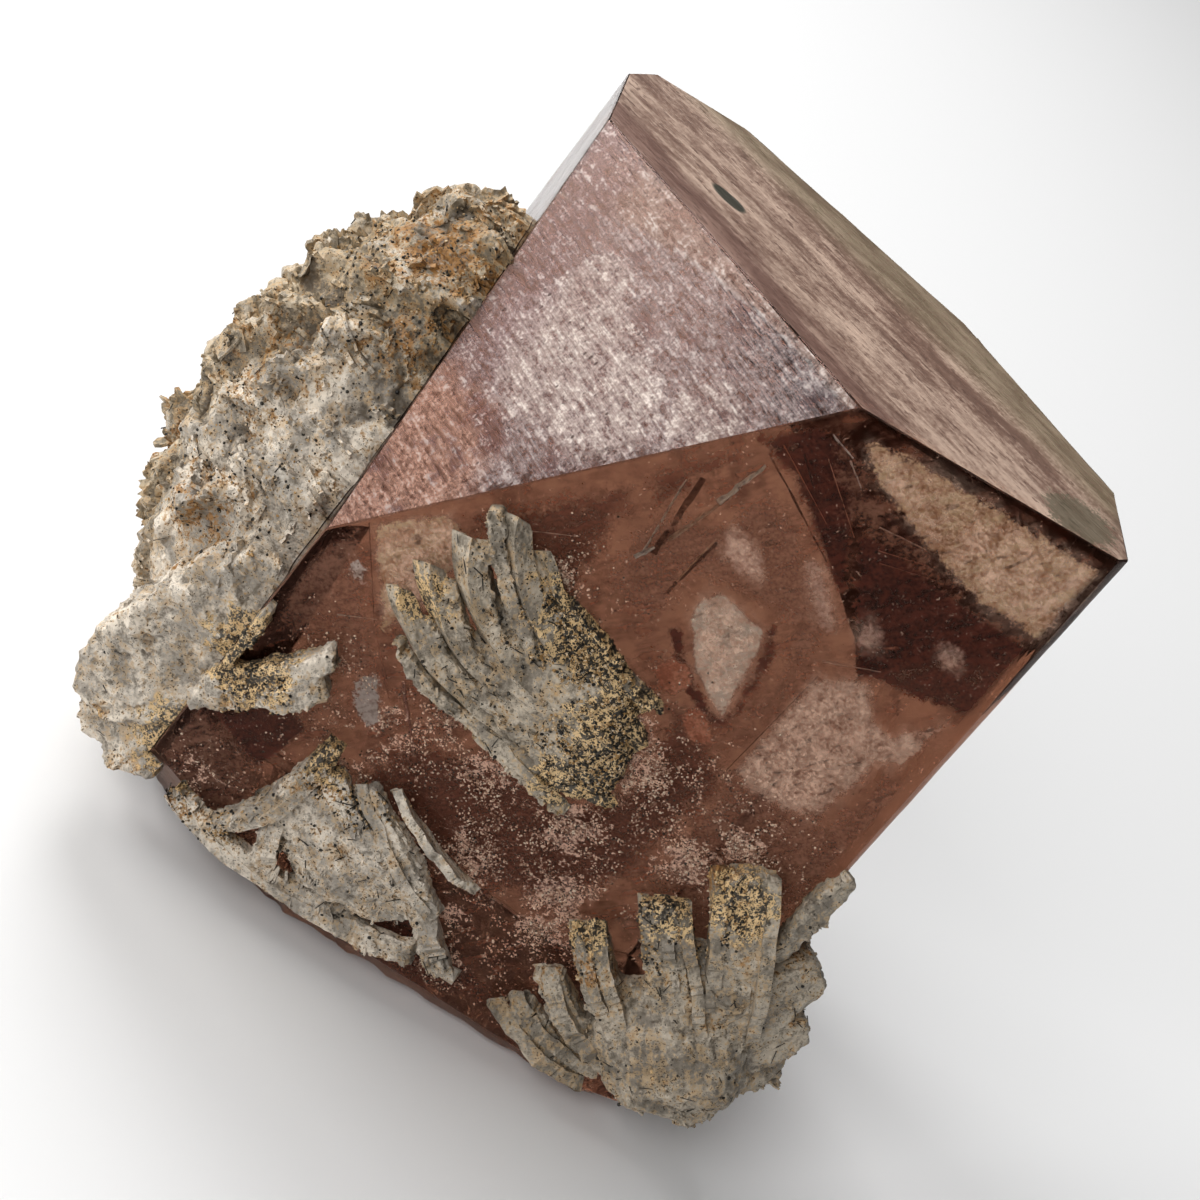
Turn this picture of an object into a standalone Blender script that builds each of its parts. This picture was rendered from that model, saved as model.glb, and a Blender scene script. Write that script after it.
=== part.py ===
"""A topaz crystal that stands on its broken base, with four clusters of bladed albite grown on its sides.

Metres, +Z up. Azimuths are in degrees from +X towards +Y, and a tilt lifts a direction above the horizontal.
"""

import math
import random

import bmesh
import bpy
from mathutils import Matrix, Vector, noise

MM = 0.001

# The crystal's growth faces: azimuth, tilt, and distance from the foot of its long axis in millimetres.
FRONT_PRISM = (-83.3, -0.4, 5.91)
LEFT_PRISM = (-169.5, 5.3, 15.48)
RIGHT_PRISM = (14.4, -0.1, 15.85)
BACK_PRISM = (94.9, 0.0, 16.05)
BACK_CORNER = (156.0, 0.0, 18.25)
FRONT_DOME = (-126.2, 29.1, 22.70)
BACK_DOME_LEFT = (68.5, 28.0, 29.77)
BACK_DOME_RIGHT = (53.4, 28.0, 30.02)
TOP_FACE = (169.3, 87.1, 42.46)
BASE = (0.0, -90.0, 0.6)
GROWTH_FACES = (
    FRONT_PRISM,
    LEFT_PRISM,
    RIGHT_PRISM,
    BACK_PRISM,
    BACK_CORNER,
    FRONT_DOME,
    BACK_DOME_LEFT,
    BACK_DOME_RIGHT,
    TOP_FACE,
    BASE,
)
BLOCK_SIZE = 120.0

# Narrow facets and broken rims: azimuth, tilt, and how deep each cuts below the edge it takes off.
RIGHT_EDGE_STRIP = (-34.5, 0.0, 0.40)
CHIPS = (
    RIGHT_EDGE_STRIP,
    (-84.0, -24.0, 0.90),
    (-71.0, -36.0, 0.90),
    (-84.0, -58.0, 0.35),
    (-128.0, -42.0, 2.70),
    (-103.0, -36.0, 1.50),
    (-160.0, -50.0, 0.70),
    (-30.0, -42.0, 1.10),
    (20.0, -48.0, 0.60),
    (58.0, -40.0, 0.90),
    (97.0, -50.0, 0.55),
    (134.0, -45.0, 0.80),
)

# The space left between the crystal and what grew on it, and under the clusters.
GAP = 0.30

# A blade's outline: fractions of its length and of its width.
BLADE_OUTLINE = (
    (0.00, -0.36),
    (0.55, -0.50),
    (0.92, -0.38),
    (1.00, 0.08),
    (0.78, 0.50),
    (0.00, 0.38),
)

# A plate that stands on the front face: its path in x and z, height, thickness, and how far it leans.
PLATE_STEPS = 8
PLATE_ROOT = 0.8
CENTRE_PLATES = (
    (((-6.7, 28.8), (-4.6, 25.6), (-1.6, 22.9), (3.6, 21.6)), 1.3, 0.7, 0.5),
    (((-6.5, 26.7), (-4.4, 23.4), (-1.4, 21.2), (3.0, 20.7)), 1.3, 0.7, 0.6),
    (((-6.7, 24.1), (-5.0, 21.2), (-1.6, 19.7), (2.6, 20.0)), 1.2, 0.7, 0.6),
    (((-6.5, 21.5), (-4.4, 19.4), (-1.2, 19.0), (2.2, 19.4)), 1.0, 0.7, 0.5),
    (((-7.1, 19.5), (-5.0, 17.9), (-2.0, 17.7), (1.2, 18.2)), 0.9, 0.7, 0.4),
    (((-2.6, 17.5), (0.2, 17.6), (2.5, 16.8), (4.5, 15.8)), 0.7, 0.9, 0.3),
    (((-0.6, 18.9), (2.4, 19.7), (5.6, 21.0)), 1.1, 0.7, 0.4),
    (((0.8, 17.9), (3.4, 18.1), (6.0, 18.4)), 0.8, 0.7, 0.3),
    (((-4.4, 27.4), (-1.6, 25.2), (1.1, 23.7), (4.6, 23.1)), 0.9, 0.8, 0.3),
    (((-2.4, 26.8), (0.2, 25.4), (2.8, 24.7), (5.6, 23.9)), 0.7, 0.8, 0.3),
)
CENTRE_LUMP = ((-0.2, 22.4, -0.5), (7.0, 1.8, 4.4), 38.0)
LOWER_PLATES = (
    (((-6.8, 12.5), (-7.1, 9.4), (-7.8, 6.4), (-9.8, 3.8)), 1.3, 0.9, 0.5),
    (((-11.9, 4.2), (-9.0, 2.7), (-6.0, 2.4), (-2.2, 2.5), (0.5, 2.3)), 0.9, 1.0, 0.3),
    (((-6.0, 10.6), (-2.3, 7.9), (1.8, 6.6)), 1.4, 1.0, 0.4),
    (((-4.1, 10.9), (-1.0, 8.8), (2.4, 6.0)), 1.1, 0.9, 0.4),
    (((-2.8, 11.4), (0.4, 9.6), (3.4, 8.6)), 0.9, 0.8, 0.3),
    (((-6.6, 8.2), (-4.7, 5.9), (-2.6, 4.6), (0.4, 4.3)), 1.2, 0.9, 0.4),
    (((1.4, 6.2), (3.2, 4.4), (4.6, 2.8)), 1.0, 1.0, 0.2),
    (((-1.6, 2.0), (0.8, 2.4), (3.2, 3.0)), 0.9, 1.1, 0.2),
    (((-7.4, 7.0), (-6.8, 4.6), (-6.3, 2.6)), 1.0, 0.9, 0.3),
)
LOWER_LUMP = ((-4.0, 7.0, -0.5), (5.9, 1.7, 4.3), 12.0)
CORNER_PLATES = (
    (((8.6, 7.0), (11.5, 4.9), (14.8, 3.6)), 1.3, 1.5, 0.3),
    (((8.7, 10.9), (11.3, 8.2), (15.4, 5.2)), 1.7, 1.8, 0.4),
    (((10.8, 14.7), (13.6, 11.4), (16.8, 7.2)), 1.9, 2.1, 0.4),
    (((13.9, 13.8), (16.2, 11.2), (17.9, 8.9)), 1.3, 1.3, 0.3),
    (((13.3, 19.1), (15.8, 15.2), (18.0, 9.8)), 1.7, 2.2, 0.3),
    (((8.3, 4.3), (11.0, 3.0), (14.0, 2.4)), 0.9, 1.5, 0.2),
)
CORNER_HEART = (17.2, -4.6, 6.0)
CORNER_SIDE_TIPS = ((19.0, -3.0, 16.2), (20.8, -2.2, 12.4), (21.4, -1.6, 9.0), (20.6, 0.4, 5.0))
CORNER_SIDE_FACE = (0.6, -1.0, 0.1)
CORNER_SIDE_SIZE = (3.8, 2.2)
PALE_PLATE = ((17.2, -4.6, 15.5), (17.5, -4.2, 22.3))
PALE_PLATE_FACE = (0.55, -0.83, 0.0)
PALE_PLATE_SIZE = (1.5, 0.7)
CORNER_LUMP = ((16.2, -4.1, 7.0), (4.7, 3.2, 4.2), 25.0)
LUMP_DETAIL = 3
LUMP_ROUGHNESS = 0.16

# A lump of the big rosette: centre, half sizes, where its plates spread from, and how many plates.
ROSETTE_BODY = ((-15.2, 3.0, 18.2), (7.5, 8.8, 15.6), (-12.0, 2.0, 12.0), 130)
ROSETTE_CROWN = ((-14.8, 4.0, 31.2), (3.2, 5.0, 4.4), (-12.6, 4.0, 28.0), 44)
FAN_HEART = (-12.6, -5.6, 10.5)
FAN_TIPS = (
    (-14.8, -6.4, 19.1),
    (-16.4, -6.6, 17.2),
    (-17.6, -6.8, 15.0),
    (-18.6, -6.8, 12.6),
    (-19.3, -6.7, 10.2),
    (-19.5, -6.5, 7.8),
    (-19.2, -6.2, 5.4),
    (-17.8, -6.0, 3.2),
    (-15.6, -6.2, 2.4),
)
FAN_SEAM_BLADE = ((-13.4, -8.0, 9.9), (-12.4, -7.8, 17.9))
FAN_FRONT_BLADES = (
    ((-13.6, -7.4, 10.3), (-8.0, -8.0, 15.5), 2.4, 1.2),
    ((-13.4, -7.4, 11.5), (-8.4, -7.8, 17.3), 2.2, 1.0),
)
FAN_WIDTHS = (3.6, 4.4)
FAN_THICKNESS = 2.4
FAN_SEAM_FACE = (-1.0, -0.35, 0.0)
FAN_SEAM_SIZE = (1.4, 0.5)
FAN_FRONT_FACE = (0.75, 0.1, -0.6)
PLATE_WIDTHS = (3.5, 6.0)
PLATE_THICKNESSES = (0.8, 1.4)
PLATE_DEPTH = 4.0
PLATE_RISES = (0.1, 0.8)

TOPAZ_COLOUR = (0.38, 0.17, 0.13, 1.0)
ALBITE_COLOUR = (0.55, 0.51, 0.42, 1.0)


def direction(azimuth, tilt):
    """The unit vector at an azimuth and a tilt."""
    flat = math.cos(math.radians(tilt))
    across = math.radians(azimuth)
    return Vector((flat * math.cos(across), flat * math.sin(across), math.sin(math.radians(tilt))))


def on_front(x, z, out):
    """The point at x and z that stands out from the front prism face."""
    normal = direction(*FRONT_PRISM[:2])
    y = (FRONT_PRISM[2] - normal.x * x - normal.z * z) / normal.y
    return Vector((x, y, z)) + normal * out


def cut_away(mesh, normal, distance):
    """Cuts off what lies past a plane and closes the cut."""
    everything = mesh.verts[:] + mesh.edges[:] + mesh.faces[:]
    cut = bmesh.ops.bisect_plane(
        mesh,
        geom=everything,
        dist=1e-5,
        plane_co=normal * distance,
        plane_no=normal,
        clear_outer=True,
    )
    rim = [piece for piece in cut["geom_cut"] if isinstance(piece, bmesh.types.BMEdge)]
    if rim:
        bmesh.ops.holes_fill(mesh, edges=rim, sides=0)


def crystal_mesh(grown=0.0):
    """The faceted crystal, each face moved outwards by grown."""
    mesh = bmesh.new()
    bmesh.ops.create_cube(mesh, size=BLOCK_SIZE)
    for azimuth, tilt, distance in GROWTH_FACES:
        cut_away(mesh, direction(azimuth, tilt), distance + grown)
    for azimuth, tilt, depth in CHIPS:
        normal = direction(azimuth, tilt)
        reach = max(normal.dot(vert.co) for vert in mesh.verts)
        cut_away(mesh, normal, reach - depth)
    bmesh.ops.recalc_face_normals(mesh, faces=mesh.faces[:])
    return mesh


def object_of(mesh, name):
    """Turns a bmesh in millimetres into an object."""
    data = bpy.data.meshes.new(name)
    mesh.to_mesh(data)
    mesh.free()
    piece = bpy.data.objects.new(name, data)
    bpy.context.scene.collection.objects.link(piece)
    return piece


def finish(piece, material):
    """Brings a piece from millimetres to metres and gives it its stone."""
    piece.data.transform(Matrix.Scale(MM, 4))
    piece.data.materials.clear()
    piece.data.materials.append(material)
    return piece


def stone_material(name, colour, roughness, transmission):
    """A plain finish for one mineral."""
    material = bpy.data.materials.new(name)
    material.use_nodes = True
    shader = material.node_tree.nodes["Principled BSDF"]
    shader.inputs["Base Color"].default_value = colour
    shader.inputs["Roughness"].default_value = roughness
    shader.inputs["Metallic"].default_value = 0.0
    shader.inputs["Transmission Weight"].default_value = transmission
    return material


def blade_mesh(root, tip, face, width, thickness):
    """A flat lath from root to tip, whose broad side looks along face."""
    along = tip - root
    length = along.length
    along = along.normalized()
    normal = (face - along * face.dot(along)).normalized()
    side = normal.cross(along)
    mesh = bmesh.new()
    bmesh.ops.create_circle(mesh, cap_ends=True, segments=len(BLADE_OUTLINE), radius=1.0)
    for vert, (far, across) in zip(mesh.verts, BLADE_OUTLINE):
        vert.co = root + along * far * length + side * across * width - normal * thickness / 2
    raised = bmesh.ops.extrude_face_region(mesh, geom=mesh.faces[:])
    moved = [piece for piece in raised["geom"] if isinstance(piece, bmesh.types.BMVert)]
    bmesh.ops.translate(mesh, vec=normal * thickness, verts=moved)
    bmesh.ops.recalc_face_normals(mesh, faces=mesh.faces[:])
    return mesh


def lump_mesh(centre, radii, turn, detail, rough, seed):
    """An uneven egg-shaped mound with the given half sizes, turned about the front-to-back axis."""
    mesh = bmesh.new()
    bmesh.ops.create_icosphere(mesh, subdivisions=detail, radius=1.0)
    shape = Matrix.Rotation(math.radians(turn), 3, "Y") @ Matrix.Diagonal(Vector(radii))
    for vert in mesh.verts:
        bump = noise.noise(vert.co * 2.3 + Vector((seed, 0.0, 0.0)))
        vert.co = centre + shape @ (vert.co * (1.0 + rough * bump))
    return mesh


def combined(target, others, operation):
    """Applies Booleans with the others to the target, then removes the others."""
    for other in others:
        cut = target.modifiers.new("join", "BOOLEAN")
        cut.operation = operation
        cut.solver = "EXACT"
        cut.object = other
    bpy.context.view_layer.update()
    evaluated = target.evaluated_get(bpy.context.evaluated_depsgraph_get())
    data = bpy.data.meshes.new_from_object(evaluated)
    target.modifiers.clear()
    target.data = data
    for other in others:
        bpy.data.objects.remove(other)


def largest_body(mesh):
    """Deletes every loose part of a mesh but the one with most faces."""
    left = set(mesh.faces)
    bodies = []
    while left:
        body = {left.pop()}
        edge_of_search = list(body)
        while edge_of_search:
            face = edge_of_search.pop()
            near = {other for edge in face.edges for other in edge.link_faces} & left
            left -= near
            body |= near
            edge_of_search.extend(near)
        bodies.append(body)
    bodies.sort(key=len)
    extra = [face for body in bodies[:-1] for face in body]
    bmesh.ops.delete(mesh, geom=extra, context="FACES")


def grown_cluster(name, lump, blades, material):
    """Joins a lump and its blades in one solid and trims it clear of the crystal and the ground."""
    cluster = object_of(lump, name)
    laths = [object_of(blade, "lath") for blade in blades]
    combined(cluster, laths, "UNION")
    crystal = object_of(crystal_mesh(GAP), "grown_crystal")
    combined(cluster, [crystal], "DIFFERENCE")
    mesh = bmesh.new()
    mesh.from_mesh(cluster.data)
    cut_away(mesh, direction(*BASE[:2]), BASE[2])
    largest_body(mesh)
    mesh.to_mesh(cluster.data)
    mesh.free()
    return finish(cluster, material)


def bent(path, share):
    """The place at a share of the way along a smooth curve that a path of points pulls into shape."""
    points = [Vector(point) for point in path]
    while len(points) > 1:
        points = [start.lerp(end, share) for start, end in zip(points, points[1:])]
    return points[0]


def curved_plate(path, rise, thickness, lean):
    """A plate that stands on edge on the front face along a curve, thinning to both ends."""
    mesh = bmesh.new()
    bmesh.ops.create_grid(mesh, x_segments=PLATE_STEPS, y_segments=1, size=0.5)
    for vert in mesh.verts:
        share = vert.co.x + 0.5
        place = bent(path, share)
        ahead = bent(path, min(share + 0.05, 1.0)) - bent(path, max(share - 0.05, 0.0))
        height = rise * (0.55 + 0.45 * math.sin(math.pi * share))
        sideways = Vector((ahead.y, 0.0, -ahead.x)).normalized()
        if vert.co.y > 0.0:
            vert.co = on_front(place.x, place.y, height) - sideways * lean
        else:
            vert.co = on_front(place.x, place.y, -PLATE_ROOT)
    middle = sum((vert.co for vert in mesh.verts), Vector()) / len(mesh.verts)
    bmesh.ops.recalc_face_normals(mesh, faces=mesh.faces[:])
    bmesh.ops.solidify(mesh, geom=mesh.faces[:], thickness=thickness)
    moved = sum((vert.co for vert in mesh.verts), Vector()) / len(mesh.verts)
    bmesh.ops.translate(mesh, vec=middle - moved, verts=mesh.verts[:])
    bmesh.ops.recalc_face_normals(mesh, faces=mesh.faces[:])
    return mesh


def build_centre_cluster(material):
    """The stack of curved plates in the middle of the front face."""
    blades = [curved_plate(*plate) for plate in CENTRE_PLATES]
    middle, radii, turn = CENTRE_LUMP
    lump = lump_mesh(on_front(*middle), radii, turn, LUMP_DETAIL, LUMP_ROUGHNESS, 3.0)
    return grown_cluster("albite_centre", lump, blades, material)


def build_lower_cluster(material):
    """The ridge and the spray of laths low on the front face."""
    blades = [curved_plate(*plate) for plate in LOWER_PLATES]
    middle, radii, turn = LOWER_LUMP
    lump = lump_mesh(on_front(*middle), radii, turn, LUMP_DETAIL, LUMP_ROUGHNESS, 7.0)
    return grown_cluster("albite_lower", lump, blades, material)


def build_corner_cluster(material):
    """The hand of thick laths at the foot of the front right edge, with the pale plate above it."""
    blades = [curved_plate(*plate) for plate in CORNER_PLATES]
    heart = Vector(CORNER_HEART)
    for tip in CORNER_SIDE_TIPS:
        blades.append(blade_mesh(heart, Vector(tip), Vector(CORNER_SIDE_FACE), *CORNER_SIDE_SIZE))
    foot, head = (Vector(end) for end in PALE_PLATE)
    blades.append(blade_mesh(foot, head, Vector(PALE_PLATE_FACE), *PALE_PLATE_SIZE))
    middle, radii, turn = CORNER_LUMP
    lump = lump_mesh(Vector(middle), radii, turn, LUMP_DETAIL, LUMP_ROUGHNESS, 5.0)
    return grown_cluster("albite_corner", lump, blades, material)


def skin_plates(centre, radii, heart, count, draw):
    """Plates that break through the skin of a lump, spread evenly over it by a golden-angle spiral."""
    turn = math.pi * (3.0 - math.sqrt(5.0))
    plates = []
    for step in range(count):
        height = 1.0 - 2.0 * (step + 0.5) / count
        ring = math.sqrt(1.0 - height * height)
        spot = Vector((ring * math.cos(step * turn), ring * math.sin(step * turn), height))
        if spot.x > 0.1:
            continue
        skin = Vector(centre) + Vector(size * part for size, part in zip(radii, spot))
        outwards = (skin - Vector(heart)).normalized()
        tip = skin + outwards * draw.uniform(*PLATE_RISES)
        root = skin - outwards * PLATE_DEPTH
        face = Vector((draw.uniform(-0.4, 0.4), 1.0, draw.uniform(-0.7, 0.7)))
        width, thickness = draw.uniform(*PLATE_WIDTHS), draw.uniform(*PLATE_THICKNESSES)
        plates.append(blade_mesh(root, tip, face, width, thickness))
    return plates


def build_left_rosette(material):
    """The big rosette on the left face, with the fan and the two blades that reach round to the front."""
    draw = random.Random(53)
    blades = skin_plates(*ROSETTE_BODY, draw) + skin_plates(*ROSETTE_CROWN, draw)
    heart = Vector(FAN_HEART)
    for tip in FAN_TIPS:
        face = Vector((draw.uniform(-0.3, 0.3), -1.0, draw.uniform(-0.3, 0.3)))
        blades.append(blade_mesh(heart, Vector(tip), face, draw.uniform(*FAN_WIDTHS), FAN_THICKNESS))
    foot, head = (Vector(end) for end in FAN_SEAM_BLADE)
    blades.append(blade_mesh(foot, head, Vector(FAN_SEAM_FACE), *FAN_SEAM_SIZE))
    for foot, head, width, thickness in FAN_FRONT_BLADES:
        blades.append(blade_mesh(Vector(foot), Vector(head), Vector(FAN_FRONT_FACE), width, thickness))
    lump = lump_mesh(Vector(ROSETTE_BODY[0]), ROSETTE_BODY[1], 0.0, 3, 0.10, 1.0)
    blades.append(lump_mesh(Vector(ROSETTE_CROWN[0]), ROSETTE_CROWN[1], 0.0, 2, 0.16, 9.0))
    return grown_cluster("albite_rosette", lump, blades, material)


def clear_scene():
    """Removes whatever the scene starts with."""
    for piece in list(bpy.data.objects):
        bpy.data.objects.remove(piece)


def centre_on_base(pieces):
    """Puts the middle of the whole specimen's footprint on the origin, at ground level."""
    corners = [Vector(corner) for piece in pieces for corner in piece.bound_box]
    middle_x = (min(c.x for c in corners) + max(c.x for c in corners)) / 2
    middle_y = (min(c.y for c in corners) + max(c.y for c in corners)) / 2
    ground = min(c.z for c in corners)
    for piece in pieces:
        piece.location = (-middle_x, -middle_y, -ground)


def main():
    clear_scene()
    topaz = stone_material("topaz", TOPAZ_COLOUR, 0.08, 1.0)
    albite = stone_material("albite", ALBITE_COLOUR, 0.6, 0.0)
    pieces = [
        finish(object_of(crystal_mesh(), "topaz_crystal"), topaz),
        build_left_rosette(albite),
        build_centre_cluster(albite),
        build_lower_cluster(albite),
        build_corner_cluster(albite),
    ]
    centre_on_base(pieces)


main()
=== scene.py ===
"""A clear brownish-pink topaz crystal with clusters of bladed albite grown on it.

Shapes are modelled in millimetres in the crystal's own frame, whose origin is the foot of its long axis, and are
brought to the frame of the solids at the end. Azimuths are in degrees from +X towards +Y, and a tilt lifts a
direction above the horizontal.
"""

import math
import random
from collections import namedtuple

import bmesh
import bpy
from mathutils import Matrix, Vector, noise


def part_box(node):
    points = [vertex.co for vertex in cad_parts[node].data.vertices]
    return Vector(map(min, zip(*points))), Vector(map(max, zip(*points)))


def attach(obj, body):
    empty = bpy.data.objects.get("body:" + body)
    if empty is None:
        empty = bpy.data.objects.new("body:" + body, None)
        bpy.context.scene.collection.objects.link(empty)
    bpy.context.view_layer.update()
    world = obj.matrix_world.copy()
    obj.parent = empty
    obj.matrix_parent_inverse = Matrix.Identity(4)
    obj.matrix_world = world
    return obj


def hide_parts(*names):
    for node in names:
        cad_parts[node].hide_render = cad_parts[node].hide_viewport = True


bl_info = {
    "name": "Topaz crystal with albite",
    "version": (1, 0, 0),
    "blender": (4, 5, 0),
    "location": "View3D > Sidebar > Topaz",
    "description": "Builds a topaz crystal, its inner fractures and the albite grown on it",
    "category": "Add Mesh",
}

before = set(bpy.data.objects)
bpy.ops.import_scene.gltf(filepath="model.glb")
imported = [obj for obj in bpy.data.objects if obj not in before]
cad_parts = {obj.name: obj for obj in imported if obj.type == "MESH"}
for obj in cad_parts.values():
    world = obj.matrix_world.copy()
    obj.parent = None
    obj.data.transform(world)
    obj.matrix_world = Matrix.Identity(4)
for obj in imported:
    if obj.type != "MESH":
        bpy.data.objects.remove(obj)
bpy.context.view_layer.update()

MM = 0.001

# The crystal's growth faces: azimuth, tilt, and distance from the foot of its long axis.
FRONT_PRISM = (-83.3, -0.4, 5.91)
LEFT_PRISM = (-169.5, 5.3, 15.48)
RIGHT_PRISM = (14.4, -0.1, 15.85)
BACK_PRISM = (94.9, 0.0, 16.05)
BACK_CORNER = (156.0, 0.0, 18.25)
FRONT_DOME = (-126.2, 29.1, 22.70)
BACK_DOME_LEFT = (68.5, 28.0, 29.77)
BACK_DOME_RIGHT = (53.4, 28.0, 30.02)
TOP_FACE = (169.3, 87.1, 42.46)
BASE = (0.0, -90.0, 0.6)
GROWTH_FACES = (
    FRONT_PRISM,
    LEFT_PRISM,
    RIGHT_PRISM,
    BACK_PRISM,
    BACK_CORNER,
    FRONT_DOME,
    BACK_DOME_LEFT,
    BACK_DOME_RIGHT,
    TOP_FACE,
    BASE,
)
FRONT, DOME, TOP, BOTTOM = 0, 5, 8, 9
BROKEN = 20
BLOCK_SIZE = 120.0

# Narrow facets and broken rims: azimuth, tilt, and how deep each cuts below the edge it takes off.
CHIPS = (
    (-34.5, 0.0, 0.40),
    (-84.0, -24.0, 0.90),
    (-71.0, -36.0, 0.90),
    (-84.0, -58.0, 0.35),
    (-128.0, -42.0, 2.70),
    (-103.0, -36.0, 1.50),
    (-160.0, -50.0, 0.70),
    (-30.0, -42.0, 1.10),
    (20.0, -48.0, 0.60),
    (58.0, -40.0, 0.90),
    (97.0, -50.0, 0.55),
    (134.0, -45.0, 0.80),
)

# The camera: where its eye is, how far it looks down, how far it is turned, and its lens.
EYE = Vector((0.0, -91.93, 81.45))
LOOK_DOWN = math.radians(32.14)
ROLL = math.radians(36.02)
LENS = 66.24
CONTRAST = 0.82

STREAK_AXIS = Vector((0.88, -0.475, 0.0))
STEP_TOP, STEP_BEND, STEP_END = 35.7, 0.0137, 5.7


# Where the front face carries crust: x, z, reach and how dense it is.
CRUST_SPOTS = (
    (4.6, 21.4, 4.2, 1.0),
    (6.8, 20.4, 2.2, 1.0),
    (0.6, 15.6, 3.6, 0.9),
    (5.6, 15.2, 4.0, 0.9),
    (-2.4, 17.0, 2.6, 0.6),
    (-4.6, 14.6, 3.0, 0.7),
    (2.4, 10.6, 3.4, 0.9),
    (7.0, 11.6, 3.6, 1.0),
    (10.8, 17.6, 3.4, 1.0),
    (12.6, 20.0, 2.2, 1.0),
    (-2.0, 27.6, 2.0, 0.6),
    (-8.6, 16.0, 3.0, 0.5),
    (-11.0, 5.6, 3.4, 0.7),
    (3.4, 6.4, 2.6, 0.7),
    (9.6, 22.6, 2.4, 0.3),
    (7.4, 8.6, 3.0, 0.9),
    (4.6, 3.6, 2.6, 0.7),
    (-5.2, 11.6, 2.4, 0.6),
)


class TopazSettings(bpy.types.PropertyGroup):
    """The crystal's sizes and colours."""

    glow: bpy.props.FloatVectorProperty(
        name="Body colour",
        description="The colour that deep light keeps on its way through",
        subtype="COLOR",
        size=3,
        min=0.0,
        max=1.0,
        default=(0.50, 0.225, 0.05),
    )
    density: bpy.props.FloatProperty(
        name="Depth of colour", description="Absorption for each metre", default=108.0, min=0.0
    )
    refraction: bpy.props.FloatProperty(
        name="Refraction", description="Index of refraction of topaz", default=1.62, min=1.0
    )
    # The etched sheen colours the dome's milky etched skin and is partly painted sheen: it stands in for the light the
    # dome face reflects.
    sheen: bpy.props.FloatVectorProperty(
        name="Etched sheen",
        description="The colour of the etched dome face",
        subtype="COLOR",
        size=3,
        min=0.0,
        max=1.0,
        default=(0.42, 0.35, 0.345),
    )
    gloss: bpy.props.FloatVectorProperty(
        name="Gloss",
        description="The colour of what the clear faces mirror",
        subtype="COLOR",
        size=3,
        min=0.0,
        max=1.0,
        default=(0.36, 0.13, 0.07),
    )
    worn_edge: bpy.props.FloatProperty(
        name="Worn edge",
        description="Width of the wear along the edges",
        default=0.00007,
        unit="LENGTH",
    )
    facet_step: bpy.props.FloatProperty(
        name="Relief spacing",
        description="How closely the faces are divided for their relief",
        default=0.0008,
        unit="LENGTH",
    )


class AlbiteSettings(bpy.types.PropertyGroup):
    """The sizes and colours of the bladed albite."""

    pale: bpy.props.FloatVectorProperty(
        name="Clean albite",
        description="The colour of clean blades",
        subtype="COLOR",
        size=3,
        min=0.0,
        max=1.0,
        default=(0.50, 0.452, 0.39),
    )
    grey: bpy.props.FloatVectorProperty(
        name="Grey albite",
        description="The colour of glassy blades",
        subtype="COLOR",
        size=3,
        min=0.0,
        max=1.0,
        default=(0.262, 0.236, 0.205),
    )
    stain: bpy.props.FloatVectorProperty(
        name="Rust stain",
        description="The colour of the iron stain",
        subtype="COLOR",
        size=3,
        min=0.0,
        max=1.0,
        default=(0.36, 0.185, 0.055),
    )
    grain: bpy.props.FloatProperty(
        name="Grain",
        description="How finely the clusters are modelled",
        default=0.00022,
        unit="LENGTH",
    )


class StageSettings(bpy.types.PropertyGroup):
    """The floor and the light."""

    floor: bpy.props.FloatVectorProperty(
        name="Floor",
        description="The colour of the floor",
        subtype="COLOR",
        size=3,
        min=0.0,
        max=1.0,
        default=(0.86, 0.86, 0.86),
    )
    floor_size: bpy.props.FloatProperty(
        name="Floor size", description="Width of the floor", default=3.0, unit="LENGTH"
    )
    daylight: bpy.props.FloatProperty(
        name="Room light", description="Strength of the light from all round", default=0.285
    )


def direction(azimuth, tilt):
    """The unit vector at an azimuth and a tilt."""
    flat = math.cos(math.radians(tilt))
    across = math.radians(azimuth)
    return Vector((flat * math.cos(across), flat * math.sin(across), math.sin(math.radians(tilt))))


def cut_away(mesh, normal, distance):
    """Cuts off what lies past a plane and closes the cut."""
    everything = mesh.verts[:] + mesh.edges[:] + mesh.faces[:]
    cut = bmesh.ops.bisect_plane(
        mesh,
        geom=everything,
        dist=1e-5,
        plane_co=normal * distance,
        plane_no=normal,
        clear_outer=True,
    )
    rim = [piece for piece in cut["geom_cut"] if isinstance(piece, bmesh.types.BMEdge)]
    if rim:
        bmesh.ops.holes_fill(mesh, edges=rim, sides=0)


def crystal_mesh():
    """The faceted crystal in millimetres, and the planes that bound it."""
    mesh = bmesh.new()
    bmesh.ops.create_cube(mesh, size=BLOCK_SIZE)
    planes = [(direction(azimuth, tilt), distance) for azimuth, tilt, distance in GROWTH_FACES]
    for normal, distance in planes:
        cut_away(mesh, normal, distance)
    for azimuth, tilt, depth in CHIPS:
        normal = direction(azimuth, tilt)
        distance = max(normal.dot(vert.co) for vert in mesh.verts) - depth
        cut_away(mesh, normal, distance)
        planes.append((normal, distance))
    bmesh.ops.recalc_face_normals(mesh, faces=mesh.faces[:])
    return mesh, planes


def found_shift():
    """How far the crystal's own frame lies from the frame of the solids, in metres."""
    mesh, _ = crystal_mesh()
    low = Vector([min(vert.co[axis] for vert in mesh.verts) for axis in range(3)])
    mesh.free()
    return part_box("topaz_crystal")[0] - low * MM


SHIFT = found_shift()
TO_FRAME = Matrix.Translation(SHIFT) @ Matrix.Scale(MM, 4)
TO_CRYSTAL = TO_FRAME.inverted()


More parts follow.
